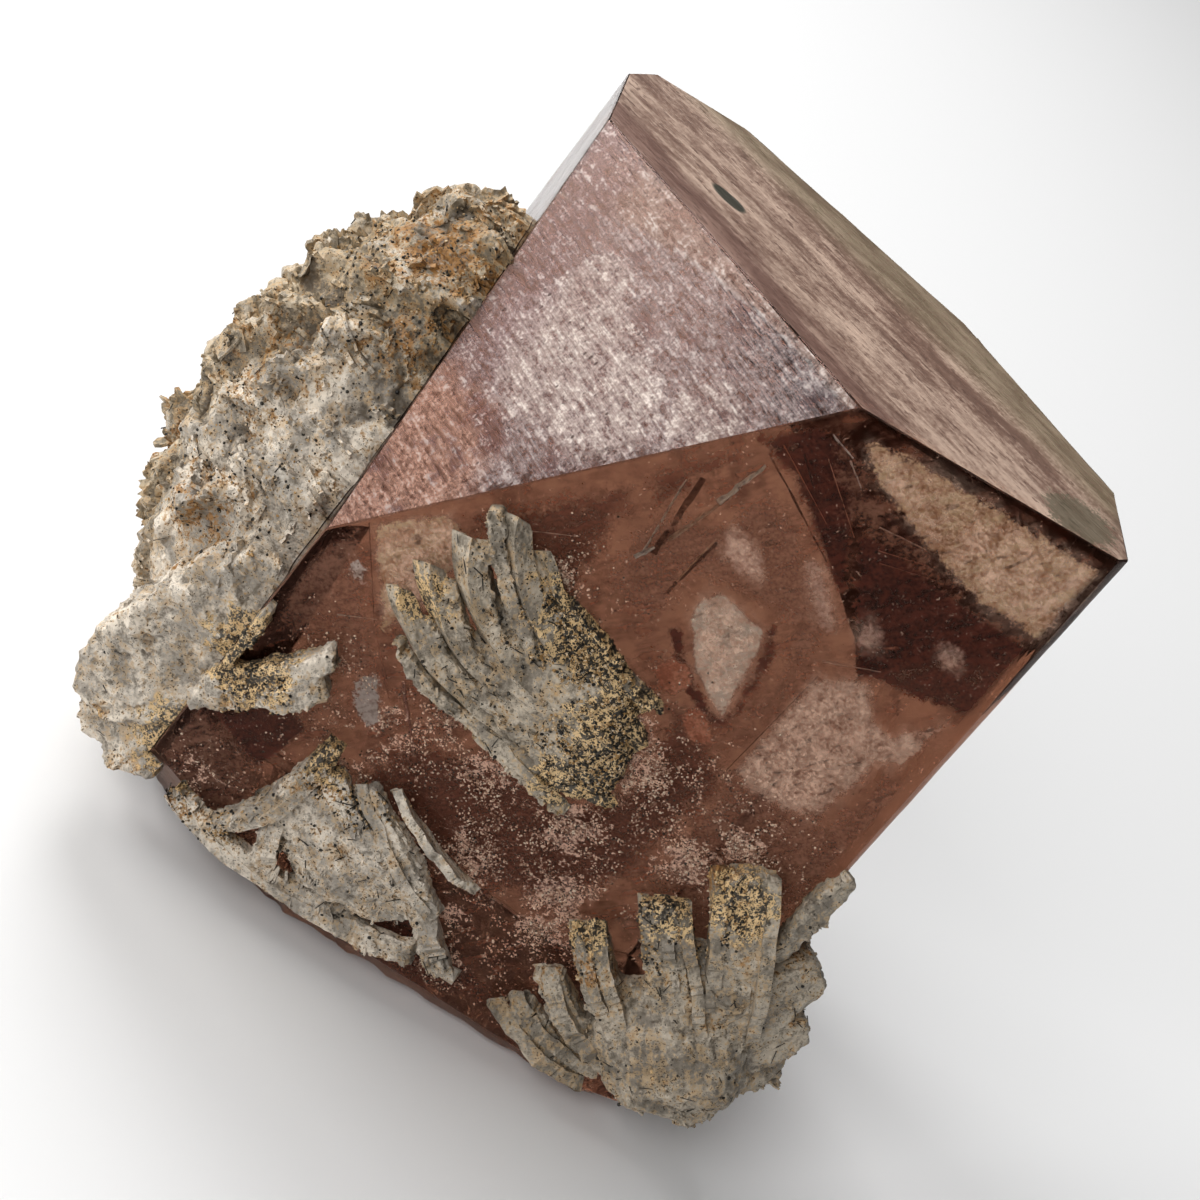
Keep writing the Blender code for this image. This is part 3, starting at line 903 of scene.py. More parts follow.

# Rods and hollow tubes inside, with a painted shadow beside the white rod, painted glints, and painted highlights on
# two of the streaks: ends in x and z, depth, width, colour and share of scattered light.
Rod = namedtuple("Rod", "start end depth width colour share")
RODS = {
    "rod_white": Rod((0.3, 30.7), (-0.05, 35.3), 0.6, 0.16, (0.95, 0.84, 0.72), 0.85),
    "rod_white_tip": Rod((0.1, 30.5), (0.6, 31.5), 0.5, 0.40, (0.97, 0.90, 0.80), 0.90),
    # A dark band beside the white rod: painted shadow.
    "rod_shadow": Rod((0.75, 31.2), (0.55, 35.8), 1.1, 0.42, (0.045, 0.014, 0.008), 0.60),
    "rod_ragged": Rod((0.9, 32.2), (2.0, 35.8), 0.6, 0.42, (0.80, 0.62, 0.46), 0.55),
    "rod_ragged_tip": Rod((1.7, 35.2), (2.4, 38.0), 0.5, 0.46, (0.95, 0.84, 0.70), 0.75),
    "rod_brown": Rod((2.7, 33.4), (2.2, 29.4), 1.1, 0.36, (0.10, 0.024, 0.013), 0.55),
    "rod_glint": Rod((2.6, 33.6), (2.3, 30.6), 0.6, 0.13, (0.90, 0.60, 0.42), 0.75),
    "rod_rose": Rod((-5.3, 17.5), (-2.9, 14.1), 0.4, 0.50, (0.72, 0.45, 0.38), 0.50),
    "needle_upper": Rod((-4.9, 28.4), (-2.5, 29.8), 0.3, 0.12, (0.88, 0.66, 0.54), 0.80),
    "needle_left": Rod((-9.7, 18.9), (-8.0, 19.9), 0.3, 0.14, (0.88, 0.72, 0.62), 0.80),
    # The first and the fourth streak are orange: painted highlights along the dark streaks.
    "streak_one": Rod((2.5, 39.3), (6.8, 36.8), 0.9, 0.12, (0.80, 0.32, 0.18), 0.75),
    "streak_two": Rod((3.4, 39.5), (8.8, 34.6), 1.2, 0.30, (0.05, 0.010, 0.006), 0.65),
    "streak_three": Rod((2.2, 38.6), (7.2, 35.6), 1.2, 0.26, (0.06, 0.012, 0.008), 0.60),
    "streak_four": Rod((4.4, 39.9), (7.4, 37.4), 0.8, 0.11, (0.88, 0.44, 0.28), 0.70),
    "streak_five": Rod((8.6, 37.5), (10.8, 38.2), 0.8, 0.11, (0.60, 0.25, 0.16), 0.65),
    "streak_six": Rod((9.0, 37.0), (11.4, 37.8), 0.9, 0.10, (0.55, 0.22, 0.14), 0.65),
    # The glint pieces are painted glints.
    "glint_upper": Rod((3.9, 41.0), (5.2, 40.6), 0.4, 0.24, (0.97, 0.92, 0.88), 0.80),
    "glint_middle": Rod((5.2, 40.4), (6.3, 39.6), 0.4, 0.20, (0.95, 0.82, 0.74), 0.75),
    "glint_boundary": Rod((8.0, 38.5), (10.2, 38.8), 0.5, 0.18, (0.85, 0.62, 0.50), 0.60),
    "glint_foot": Rod((9.8, 31.2), (12.2, 32.4), 0.5, 0.18, (0.90, 0.68, 0.56), 0.60),
    "edge_line_upper": Rod((-10.7, 24.3), (-8.0, 19.6), 0.7, 0.12, (0.16, 0.05, 0.03), 0.45),
    "edge_line_lower": Rod((-8.0, 19.6), (-5.4, 16.2), 0.5, 0.11, (0.75, 0.48, 0.38), 0.50),
    "diagonal_line": Rod((10.1, 30.4), (9.1, 16.8), 1.0, 0.10, (0.09, 0.018, 0.010), 0.45),
}


def layer_material(name):
    """A thin layer inside the crystal whose kinds of stone, painted shade, painted light and painted glints follow the
    attributes of the same names.
    """
    sheet = Sheet(name)
    broad = sheet.noise(0.55, 2.0, 0.68)
    coarse = sheet.noise(1.5, 3.0, 0.76)
    fine = sheet.noise(5.5, 1.0, 0.65)
    streaks = sheet.noise(1.7, 2.0, 0.74, sheet.stretched(Vector((0.62, 0.0, 0.78)), 0.82))
    dashes = sheet.noise(3.4, 1.0, 0.5, sheet.stretched(Vector((0.55, 0.0, 0.83)), 0.72)).over(0.64, 0.69)
    tone = (coarse - 0.5) * 1.4 + (fine - 0.5) * 0.9 + (streaks - 0.5) * 1.3 + 0.5
    colour = sheet.blend(tone.over(0.2, 0.8), *CLOUD[:2])
    share = (broad * 0.6 + streaks * 0.4).over(0.40, 0.66) * CLOUD[2]
    warp = (coarse - 0.5) * 1.6 + (fine - 0.5) * 0.7
    for kind, look in KINDS.items():
        mask = (sheet.attribute(kind) + warp * look.ragged).over(0.0, look.soft)
        hue = sheet.blend(tone.over(0.15, 0.85), look.dark, look.light)
        hue = sheet.blend(dashes * look.dashes, hue, tuple(part * 0.3 for part in look.dark))
        colour = sheet.blend(mask, colour, hue)
        share = share * (1.0 - mask) + mask * look.share * (0.78 + tone * 0.4)
    share = (share * sheet.attribute("rim").over(0.0, 0.5)).most(0.0).least(0.97)
    solid = sheet.principled(Base_Color=colour, Roughness=0.5)
    clear = sheet.add("ShaderNodeBsdfTransparent")
    return sheet.out(sheet.mixed(share, clear, solid))


def clear_material():
    """The side of a layer that adds nothing to what its other side shows."""
    sheet = Sheet("clear_side")
    return sheet.out(sheet.add("ShaderNodeBsdfTransparent"))


def rod_material(name, colour, share):
    """A thin rod or hollow tube, part clear and part scattering; the same material makes the painted shadow, glints and
    highlights inside.
    """
    sheet = Sheet(name)
    patchy = sheet.noise(3.0, 3.0, 0.7)
    hue = sheet.blend(patchy.over(0.3, 0.6), tuple(part * 0.45 for part in colour), colour)
    solid = sheet.principled(Base_Color=hue, Roughness=0.4)
    clear = sheet.add("ShaderNodeBsdfTransparent", None, {"Color": (0.98, 0.95, 0.93, 1.0)})
    return sheet.out(sheet.mixed((patchy - 0.32).over(0.0, 0.12) * share, clear, solid))


def outline_mesh(points):
    """A filled outline."""
    mesh = bmesh.new()
    bmesh.ops.create_circle(mesh, cap_ends=True, segments=len(points), radius=1.0)
    for vert, point in zip(mesh.verts, points):
        vert.co = point
    return mesh


def sides_of(outline):
    """The sides of an outline as pairs of corners."""
    return list(zip(outline, outline[1:] + outline[:1]))


def depth_within(x, z, outline):
    """How far a place lies inside an outline, or less than 0 outside it."""
    best = 1e9
    crossings = 0
    for (ax, az), (bx, bz) in sides_of(outline):
        across, upward = bx - ax, bz - az
        share = ((x - ax) * across + (z - az) * upward) / (across * across + upward * upward)
        share = min(max(share, 0.0), 1.0)
        best = min(best, math.hypot(x - ax - share * across, z - az - share * upward))
        if (az > z) != (bz > z) and x < ax + across * (z - az) / upward:
            crossings += 1
    return best if crossings % 2 else -best


def inner_layer(name, depth, refraction):
    """A thin wavy body below the whole front face, which knows how far each place lies inside each kind's outlines."""
    left, right, low, high = LAYER_BOX
    mesh = bmesh.new()
    bmesh.ops.create_grid(
        mesh, x_segments=int((right - left) / LAYER_STEP), y_segments=int((high - low) / LAYER_STEP), size=0.5
    )
    kept = {kind: mesh.verts.layers.float.new(kind) for kind in (*KINDS, "rim")}
    outer = []
    for vert in mesh.verts:
        x = left + (right - left) * (vert.co.x + 0.5)
        z = low + (high - low) * (vert.co.y + 0.5)
        wave = 0.12 * noise.noise(Vector((x * 0.35, z * 0.35, depth * 3.0)))
        ripple = 0.04 * noise.noise(Vector((x * 1.3, z * 1.3, depth * 5.0)))
        vert.co = behind_front(x, z, depth + wave + ripple, refraction)
        room = -outside(vert.co) - LAYER_MARGIN
        if room < 0.0:
            outer.append(vert)
            continue
        vert[kept["rim"]] = room
        for kind in KINDS:
            vert[kept[kind]] = max(depth_within(x, z, outline) for outline in ZONES[kind])
    bmesh.ops.delete(mesh, geom=outer, context="VERTS")
    bmesh.ops.recalc_face_normals(mesh, faces=mesh.faces[:])
    bmesh.ops.solidify(mesh, geom=mesh.faces[:], thickness=0.03)
    bmesh.ops.recalc_face_normals(mesh, faces=mesh.faces[:])
    return new_object(mesh, name)


def rod_mesh(start, end, width, seed, sides=6, joints=9):
    """A ragged flattened rod from start to end."""
    along = end - start
    mesh = bmesh.new()
    bmesh.ops.create_cone(
        mesh, cap_ends=True, segments=sides, radius1=0.5, radius2=0.3, depth=1.0
    )
    rings = [edge for edge in mesh.edges if abs(edge.verts[0].co.z - edge.verts[1].co.z) > 0.5]
    bmesh.ops.subdivide_edges(mesh, edges=rings, cuts=joints)
    turn = along.to_track_quat("Z", "Y").to_matrix().to_4x4()
    size = Matrix.Diagonal((width, width * 0.45, along.length, 1.0))
    for vert in mesh.verts:
        wave = noise.noise_vector(Vector((0.0, 0.0, vert.co.z * 5.0 + seed)))
        thick = 1.0 + 0.7 * noise.noise(Vector((seed, 3.0, vert.co.z * 9.0)))
        vert.co.x = vert.co.x * thick + 0.30 * wave.x
        vert.co.y = vert.co.y * thick + 0.30 * wave.y
    bmesh.ops.transform(
        mesh, matrix=Matrix.Translation((start + end) / 2) @ turn @ size, verts=mesh.verts[:]
    )
    bmesh.ops.recalc_face_normals(mesh, faces=mesh.faces[:])
    return mesh


def clear_behind(piece):
    """Leaves only the side of a layer that looks out of the front face to scatter light."""
    out = direction(*FRONT_PRISM[:2])
    for polygon in piece.data.polygons:
        if polygon.normal.dot(out) < 0.3:
            polygon.material_index = 1


# What clouds the rest of the crystal: its darker and lighter colours, and how much light it scatters.
CLOUD = ((0.13, 0.028, 0.015), (0.56, 0.25, 0.15), 0.68)


class TOPAZ_OT_inclusions(bpy.types.Operator):
    """Place the fractures, veils and rods inside the crystal, with their painted shade, light and glints"""

    bl_idname = "topaz.inclusions"
    bl_label = "Inclusions"

    def execute(self, context):
        refraction = context.scene.topaz_settings.refraction
        piece = inner_layer("inner_veils", LAYER_DEPTH, refraction)
        finish_piece(piece, [layer_material("inner_veils"), clear_material()])
        clear_behind(piece)
        for number, (name, rod) in enumerate(RODS.items()):
            start = behind_front(*rod.start, rod.depth, refraction)
            end = behind_front(*rod.end, rod.depth + 0.3, refraction)
            piece = new_object(rod_mesh(start, end, rod.width, 3.7 * number), name)
            finish_piece(piece, [rod_material(name, rod.colour, rod.share)])
        return {"FINISHED"}


FACE_NORMALS = crystal_mesh()[1]
TOUCH = 0.55
SKIN = 0.03


def settled(point):
    """Lays a point that is close to the crystal onto its surface, and keeps it outside."""
    gap, normal = max(
        ((normal.dot(point) - distance, normal) for normal, distance in FACE_NORMALS),
        key=lambda pair: pair[0],
    )
    if gap < TOUCH:
        return point - normal * (gap - SKIN)
    return point


def skin_of(node, voxel):
    """The skin of a CAD node as one even mesh of small faces, in millimetres."""
    mesh = bmesh.new()
    mesh.from_mesh(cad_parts[node].data)
    bmesh.ops.remove_doubles(mesh, verts=mesh.verts[:], dist=1e-6)
    bmesh.ops.transform(mesh, matrix=TO_CRYSTAL, verts=mesh.verts[:])
    rough = new_object(mesh, node + "_form")
    remesh = rough.modifiers.new("even", "REMESH")
    remesh.mode = "VOXEL"
    remesh.voxel_size = voxel
    bpy.context.view_layer.update()
    evaluated = rough.evaluated_get(bpy.context.evaluated_depsgraph_get())
    even = bmesh.new()
    even.from_mesh(evaluated.to_mesh())
    evaluated.to_mesh_clear()
    bpy.data.objects.remove(rough)
    return even


def sawtooth(value):
    """Rises evenly from 0 to 1 and falls back at each whole number."""
    return value - math.floor(value)


def broken_plates(point, size):
    """Flat broken plates at every tilt: each cell of scattered points has its own plane."""
    centre = noise.voronoi(point / size)[1][0]
    tilt = noise.noise_vector(centre * 7.3)
    return 1.3 * tilt.dot(point / size - centre) + 0.5 * noise.noise(centre * 5.1)


BLADE_WAY = Vector((-0.62, 0.1, 0.78))


def rosette_relief(point):
    """Broken plates and knots on the big rosette, smoother and ribbed on the fan."""
    fan = min(max((-2.0 - point.y) / 2.5, 0.0), 1.0) * min(max((20.0 - point.z) / 3.0, 0.0), 1.0)
    knots = noise.fractal(point * 0.5, 0.8, 2.1, 4)
    drawn = point - BLADE_WAY * (0.6 * BLADE_WAY.dot(point))
    rough = 0.26 * knots + 0.42 * broken_plates(drawn, 1.7) + 0.13 * broken_plates(point, 0.6)
    angle = math.atan2(point.z - 10.5, point.x + 12.6)
    ribs = sawtooth(angle * 7.2 + 0.9 * noise.noise(point * 0.25))
    arcs = sawtooth(math.hypot(point.z - 10.5, point.x + 12.6) / 1.9 + noise.noise(point * 0.2))
    smooth = 0.16 * (ribs - 0.5) + 0.12 * (arcs - 0.5) + 0.14 * knots + 0.12 * broken_plates(point, 1.0)
    return rough * (1.0 - fan) + smooth * fan


def low_relief(point):
    """Knots, small plates and pits on the clusters of the front face."""
    knots = noise.fractal(point * 0.9, 0.8, 2.1, 3)
    return 0.10 * knots + 0.16 * broken_plates(point, 0.7) + 0.06 * noise.noise(point * 3.1)


def relieved(mesh, relief, name):
    """Gives an even skin its relief, lays it against the crystal and keeps how high each point rose."""
    rise = mesh.verts.layers.float.new("rise")
    mesh.normal_update()
    moved = []
    for vert in mesh.verts:
        height = relief(vert.co)
        fine = 0.07 * noise.noise(vert.co * 2.7) + 0.05 * noise.noise(vert.co * 5.3)
        moved.append((vert.co + vert.normal * (height + fine), height + fine))
    for vert, (place, height) in zip(mesh.verts, moved):
        place = settled(place)
        place.z = max(place.z, -BASE[2])
        vert.co = place
        vert[rise] = height
    return new_object(mesh, name)


def flat_plate(seed):
    """A small flat plate of unit size with a toothed far end, its root at the origin."""
    draw = random.Random(seed)
    teeth = 6
    points = [Vector((0.0, -0.34, -0.5)), Vector((0.5, -0.5 + draw.uniform(0, 0.08), -0.5))]
    for step in range(teeth):
        share = step / (teeth - 1)
        reach = 0.82 + 0.16 * (step % 2) + draw.uniform(-0.06, 0.06) - 0.22 * (share - 0.4) ** 2
        points.append(Vector((reach, -0.42 + 0.86 * share, -0.5)))
    points.append(Vector((0.45, 0.5 - draw.uniform(0, 0.08), -0.5)))
    points.append(Vector((0.0, 0.36, -0.5)))
    mesh = outline_mesh(points)
    raised = bmesh.ops.extrude_face_region(mesh, geom=mesh.faces[:])
    moved = [piece for piece in raised["geom"] if isinstance(piece, bmesh.types.BMVert)]
    bmesh.ops.translate(mesh, vec=Vector((0.0, 0.0, 1.0)), verts=moved)
    bmesh.ops.recalc_face_normals(mesh, faces=mesh.faces[:])
    return template_of(mesh, "plate")


def grain_shape(seed):
    """A small angular grain of unit size."""
    mesh = bmesh.new()
    bmesh.ops.create_icosphere(mesh, subdivisions=1, radius=0.5)
    for vert in mesh.verts:
        vert.co *= 1.0 + 0.45 * noise.noise(vert.co * 3.0 + Vector((seed * 5.0, 0.0, 0.0)))
    return template_of(mesh, "grain")


def needle_shape():
    """A thin four-sided needle of unit length along X."""
    mesh = bmesh.new()
    bmesh.ops.create_cone(mesh, cap_ends=True, segments=4, radius1=0.5, radius2=0.3, depth=1.0)
    bmesh.ops.rotate(mesh, verts=mesh.verts[:], matrix=Matrix.Rotation(math.radians(90.0), 3, "Y"))
    return template_of(mesh, "needle")


def template_of(mesh, name):
    """Keeps a bmesh as mesh data to be copied many times."""
    data = bpy.data.meshes.new(name)
    mesh.to_mesh(data)
    mesh.free()
    return data


def pose_of(root, along, face, size):
    """The matrix that puts a unit shape at root, along one direction, its flat side looking along another."""
    along = along.normalized()
    flat = face - along * face.dot(along)
    if flat.length < 1e-4:
        flat = along.orthogonal()
    flat.normalize()
    side = flat.cross(along)
    turn = Matrix((along, side, flat)).transposed().to_4x4()
    return Matrix.Translation(root) @ turn @ Matrix.Diagonal((*size, 1.0))


def stamp(mesh, template, matrix):
    """Adds a placed copy of a template to a mesh."""
    copy = template.copy()
    copy.transform(matrix)
    mesh.from_mesh(copy)
    bpy.data.meshes.remove(copy)


def free_spots(piece, count, draw, wanted):
    """Seeded points on a piece, each with its outward direction, where wanted says so."""
    verts = piece.data.vertices
    spots = []
    tries = 0
    while len(spots) < count and tries < count * 40:
        tries += 1
        vert = verts[draw.randrange(len(verts))]
        if wanted(vert.co, vert.normal, draw):
            spots.append((vert.co.copy(), vert.normal.copy()))
    return spots


def outside(point):
    """How far a point lies outside the crystal."""
    return max(normal.dot(point) - distance for normal, distance in FACE_NORMALS)


def add_plates(piece, count, seed, length, width, thickness, lean, wanted):
    """A mesh of small plates that stand out of a cluster's skin."""
    draw = random.Random(seed)
    shapes = [flat_plate(seed * 10 + number) for number in range(5)]
    mesh = bmesh.new()
    for spot, normal in free_spots(piece, count, draw, wanted):
        reach = draw.uniform(*length)
        along = (normal + lean(spot) + noise.noise_vector(spot * 0.6) * 1.3).normalized()
        face = noise.noise_vector(spot * 0.23 + Vector((7.0, 1.0, 3.0))) + Vector((0.1, 0.5, 0.3))
        root = spot - along * (reach * 0.76)
        tip = root + along * reach
        if outside(root) < 0.25 or outside(tip) < 0.25 or tip.z < 0.1 or root.z < 0.1:
            continue
        size = (reach, draw.uniform(*width), draw.uniform(*thickness))
        stamp(mesh, shapes[draw.randrange(5)], pose_of(root, along, face, size))
    return new_object(mesh, piece.name + "_plates")


def bent(path, share):
    """The place at a share of the way along a smooth curve that a path of points pulls into shape."""
    points = [Vector(point) for point in path]
    while len(points) > 1:
        points = [start.lerp(end, share) for start, end in zip(points, points[1:])]
    return points[0]


def toothed_plate(path, rise, thickness, lean, aside, seed):
    """A thin plate that stands on edge on the front face along a curve, with a ragged upper edge."""
    mesh = bmesh.new()
    bmesh.ops.create_grid(mesh, x_segments=44, y_segments=5, size=0.5)
    for vert in mesh.verts:
        share, up = vert.co.x + 0.5, vert.co.y + 0.5
        place = bent(path, share)
        ahead = bent(path, min(share + 0.05, 1.0)) - bent(path, max(share - 0.05, 0.0))
        sideways = Vector((ahead.y, 0.0, -ahead.x)).normalized()
        tooth = 0.24 * noise.noise(Vector((share * 6.0, seed, 0.0)))
        tooth += 0.12 * noise.noise(Vector((share * 34.0, seed, 2.0)))
        height = rise * (0.22 + 0.78 * math.sin(math.pi * share) ** 0.6) * (1.0 + tooth * up)
        wave = 0.16 * noise.noise(Vector((share * 5.0, up * 2.0, seed)))
        vert.co = on_front(place.x, place.y, 0.05 + height * up) + sideways * (aside + wave - lean * up)
    bmesh.ops.recalc_face_normals(mesh, faces=mesh.faces[:])
    bmesh.ops.solidify(mesh, geom=mesh.faces[:], thickness=thickness)
    bmesh.ops.recalc_face_normals(mesh, faces=mesh.faces[:])
    for vert in mesh.verts:
        vert.co = settled_lightly(vert.co)
    return mesh


def settled_lightly(point):
    """Keeps a point just outside the crystal and above the ground."""
    gap, normal = max(
        ((normal.dot(point) - distance, normal) for normal, distance in FACE_NORMALS),
        key=lambda pair: pair[0],
    )
    if gap < SKIN:
        point = point + normal * (SKIN - gap)
    point.z = max(point.z, -BASE[2])
    return point


def plate_stack(name, plates, seed):
    """Each plate of a cluster as a book of thin toothed plates."""
    draw = random.Random(seed)
    mesh = bmesh.new()
    for path, rise, thickness, lean in plates:
        leaves = max(1, round(thickness / 0.95))
        for leaf in range(leaves):
            aside = ((leaf + 0.5) / leaves - 0.5) * thickness
            height = rise * draw.uniform(0.94, 1.24)
            slid = [Vector(point) + Vector([draw.uniform(-0.15, 0.15) for _ in range(2)]) for point in path]
            thin = draw.uniform(0.62, 0.86) * thickness / leaves
            leaf_mesh = toothed_plate(slid, height, thin, lean, aside, draw.uniform(0.0, 90.0))
            data = template_of(leaf_mesh, "leaf")
            mesh.from_mesh(data)
            bpy.data.meshes.remove(data)
    return new_object(mesh, name)


def joined(main, others):
    """Joins other objects into the main one."""
    with bpy.context.temp_override(
        active_object=main, object=main, selected_objects=[main, *others], selected_editable_objects=[main, *others]
    ):
        bpy.ops.object.join()
    return main


# The darker and lighter colours of the stone where the rosette is dirty.
SAND_SPOTS = (
    (Vector((1.2, -6.6, 27.2)), 5.0, 1.0),
    (Vector((5.4, -6.6, 22.6)), 5.0, 1.0),
    (Vector((4.6, -6.6, 18.6)), 3.6, 1.0),
    (Vector((-6.6, -7.0, 22.6)), 2.2, 0.8),
    (Vector((-6.4, -7.2, 12.4)), 3.0, 0.9),
    (Vector((-12.6, -7.4, 6.6)), 3.6, 0.9),
    (Vector((11.2, -6.0, 15.6)), 3.0, 0.8),
    (Vector((14.4, -5.8, 18.0)), 2.8, 0.8),
    (Vector((9.0, -6.2, 11.6)), 2.2, 0.8),
    (Vector((-12.0, -8.2, 14.6)), 3.6, 1.0),
    (Vector((-8.0, -4.0, 24.0)), 3.0, 0.7),
)
WARM_STONE = ((0.19, 0.145, 0.085), (0.47, 0.375, 0.245))
FAN_CLEAN = 0.85
SAND = ((0.022, 0.016, 0.010), (0.74, 0.55, 0.31))
RUST_SPOTS = (
    (Vector((-15.6, 1.0, 33.6)), 5.2, 1.0),
    (Vector((-14.4, -0.5, 29.4)), 4.2, 1.0),
    (Vector((-18.6, -1.0, 25.0)), 4.5, 1.0),
    (Vector((-21.0, 1.0, 17.0)), 4.2, 1.0),
    (Vector((-18.0, -5.0, 17.5)), 3.2, 1.0),
    (Vector((-11.4, -8.0, 13.0)), 3.0, 1.0),
    (Vector((1.5, -6.5, 27.0)), 4.0, 1.0),
    (Vector((6.6, -6.4, 20.4)), 3.8, 1.0),
    (Vector((-6.6, -7.0, 11.6)), 3.2, 1.0),
    (Vector((-12.5, -7.5, 4.5)), 3.2, 1.0),
    (Vector((12.0, -5.8, 18.4)), 4.2, 1.0),
    (Vector((9.6, -6.2, 9.0)), 2.5, 1.0),
)


def shaded(colour, light):
    """A colour made lighter or darker."""
    return tuple(min(part * light, 1.0) for part in colour)


def albite_material(name, settings, dirt, warmth, light, fan=False):
    """Glassy grey and white plates with rust in the hollows, tan grains and fine black dirt, with painted highlights on
    the ridges, painted shade in the hollows, and each cluster's copy made lighter by its own light factor as painted
    light.
    """
    sheet = Sheet(name)
    rise = sheet.attribute("rise")
    rust = sheet.attribute("rust")
    sand = sheet.attribute("sand")
    broad = sheet.noise(0.42, 2.0, 0.70)
    fine = sheet.noise(3.2, 2.0, 0.76)
    dust = sheet.noise(7.5, 1.0, 0.7)
    streaks = sheet.noise(2.4, 2.0, 0.65, sheet.stretched(BLADE_WAY.normalized(), 0.8))
    tone = (fine - 0.5) * 1.5 + (dust - 0.5) * 0.9 + (streaks - 0.5) * 1.3
    # Each cluster's copy is made lighter by its own light factor: painted light that sets the clusters apart in
    # brightness.
    colour = sheet.blend((broad + tone * 0.25).over(0.36, 0.62), shaded(settings.grey, light), shaded(settings.pale, light))
    warm = sheet.blend((broad + tone * 0.4).over(0.35, 0.65), *WARM_STONE)
    if fan:
        warmth = warmth * (1.0 - sheet.along(Vector((0.0, -1.0, 0.0))).over(1.5, 4.5) * FAN_CLEAN)
    colour = sheet.blend(warmth, colour, warm)
    # Raised places are made paler: painted highlight on the ridges.
    colour = sheet.blend((rise + tone * 0.1).over(0.04, 0.30) * 0.6, colour, (0.70, 0.645, 0.57))
    patch = sheet.noise(0.9, 3.0, 0.82)
    sandy = (patch + tone * 0.45 + rust * 0.10 + warmth * 0.05).over(0.52, 0.60)
    colour = sheet.blend(sandy * 0.55, colour, (0.47, 0.33, 0.18))
    rusty = (broad * 0.4 + patch * 0.6 + rust * 0.26 - rise * 0.10 + tone * 0.30).over(0.60, 0.74) * 0.9
    colour = sheet.blend(rusty, colour, sheet.blend((fine + tone * 0.3).over(0.36, 0.62), (0.17, 0.075, 0.02), settings.stain))
    # Low places are made almost black: painted shade in the hollows.
    hollow = 1.0 - (rise + tone * 0.15).over(-0.30, -0.02)
    colour = sheet.blend(hollow * 0.85, colour, (0.07, 0.048, 0.028))
    colour = sheet.blend((tone * -1.0).over(0.08, 0.5) * 0.5, colour, (0.17, 0.14, 0.095))
    grainy = (sand + (patch - 0.5) * 1.2 + tone * 0.35).over(0.24, 0.40)
    speckled = sheet.blend((dust * 0.6 + fine * 0.8 + (patch - 0.5) * 0.5 - 0.2).over(0.46, 0.54), *SAND)
    colour = sheet.blend(grainy * 0.85, colour, speckled)
    specks = (dust + rusty * 0.04 + (patch - 0.5) * 0.35).over(0.64, 0.69) * (0.9 * dirt)
    colour = sheet.blend(specks, colour, (0.030, 0.026, 0.018))
    normal = sheet.bump(sheet.noise(4.4, 0.0) * 0.9, 0.6, 0.14)
    roughness = 0.30 + 0.35 * fine
    return sheet.out(sheet.principled(Base_Color=colour, Roughness=roughness, Normal=normal))


def keep_places(piece, name, spots):
    """Notes on each point of a cluster how near it is to the nearest of some places."""
    values = piece.data.attributes.new(name, "FLOAT", "POINT").data
    for vert, value in zip(piece.data.vertices, values):
        value.value = nearness(vert.co, spots)


def anywhere(spot, normal, draw):
    return outside(spot) > 0.35


def grow_cluster(name, node, voxel, relief, plates, material, books=()):
    """One cluster: its skin with relief, its books of plates, and the small plates that stand out of it."""
    body = relieved(skin_of(node, voxel), relief, name)
    extra = [add_plates(body, *plate) for plate in plates]
    if books:
        extra.append(plate_stack(name + "_books", books, len(books)))
    joined(body, extra)
    keep_places(body, "rust", RUST_SPOTS)
    keep_places(body, "sand", SAND_SPOTS)
    return finish_piece(body, [material], [node], crease=30.0)


def lean_from(centre, amount):
    """Leans plates away from a centre."""
    middle = Vector(centre)
    return lambda spot: (spot - middle).normalized() * amount


class TOPAZ_OT_rosette(bpy.types.Operator):
    """Grow the big rosette of albite on the left face"""

    bl_idname = "topaz.rosette"
    bl_label = "Rosette"

    def execute(self, context):
        settings = context.scene.albite_settings

        def on_rosette(spot, normal, draw):
            return outside(spot) > 0.35 and (spot.y > -3.5 or spot.z > 18.0)

        away = lean_from((-11.0, 2.0, 12.0), 0.5)
        plates = [
            (360, 61, (0.9, 1.7), (0.9, 2.1), (0.12, 0.26), away, on_rosette),
            (260, 62, (0.4, 0.8), (0.5, 1.1), (0.08, 0.16), away, on_rosette),
            (90, 63, (0.5, 0.9), (0.4, 0.9), (0.08, 0.16), away, anywhere),
        ]
        stone = albite_material("rosette_albite", settings, 0.9, 0.75, 1.55, fan=True)
        grow_cluster("rosette", "albite_rosette", settings.grain / MM, rosette_relief, plates, stone)
        return {"FINISHED"}


# A plate that stands on the front face: its path in x and z, height, thickness, and how far it leans.
CENTRE_PLATES = (
    (((-6.4, 28.9), (-5.0, 25.8), (-2.6, 23.4), (2.4, 21.9), (5.6, 21.2)), 1.35, 1.35, 1.2),
    (((-7.3, 26.6), (-6.0, 23.6), (-3.4, 21.4), (0.6, 20.6), (3.4, 20.0)), 1.3, 1.3, 1.1),
    (((-8.2, 24.0), (-6.6, 21.6), (-4.2, 20.0), (-0.8, 19.2), (2.0, 18.9)), 1.2, 1.25, 1.0),
    (((-8.6, 21.9), (-7.0, 19.7), (-4.4, 18.4), (-1.2, 17.8), (1.6, 17.6)), 1.0, 1.2, 0.8),
    (((-2.6, 17.5), (0.2, 17.6), (2.5, 16.8), (4.5, 15.8)), 0.7, 0.9, 0.3),
    (((-0.6, 18.9), (2.4, 19.7), (5.6, 21.0)), 1.0, 0.7, 0.5),
    (((0.8, 17.9), (3.4, 18.1), (6.0, 18.4)), 0.8, 0.8, 0.4),
    (((-4.0, 27.6), (-1.6, 25.4), (1.1, 24.0), (4.6, 23.1)), 0.8, 1.5, 0.6),
)
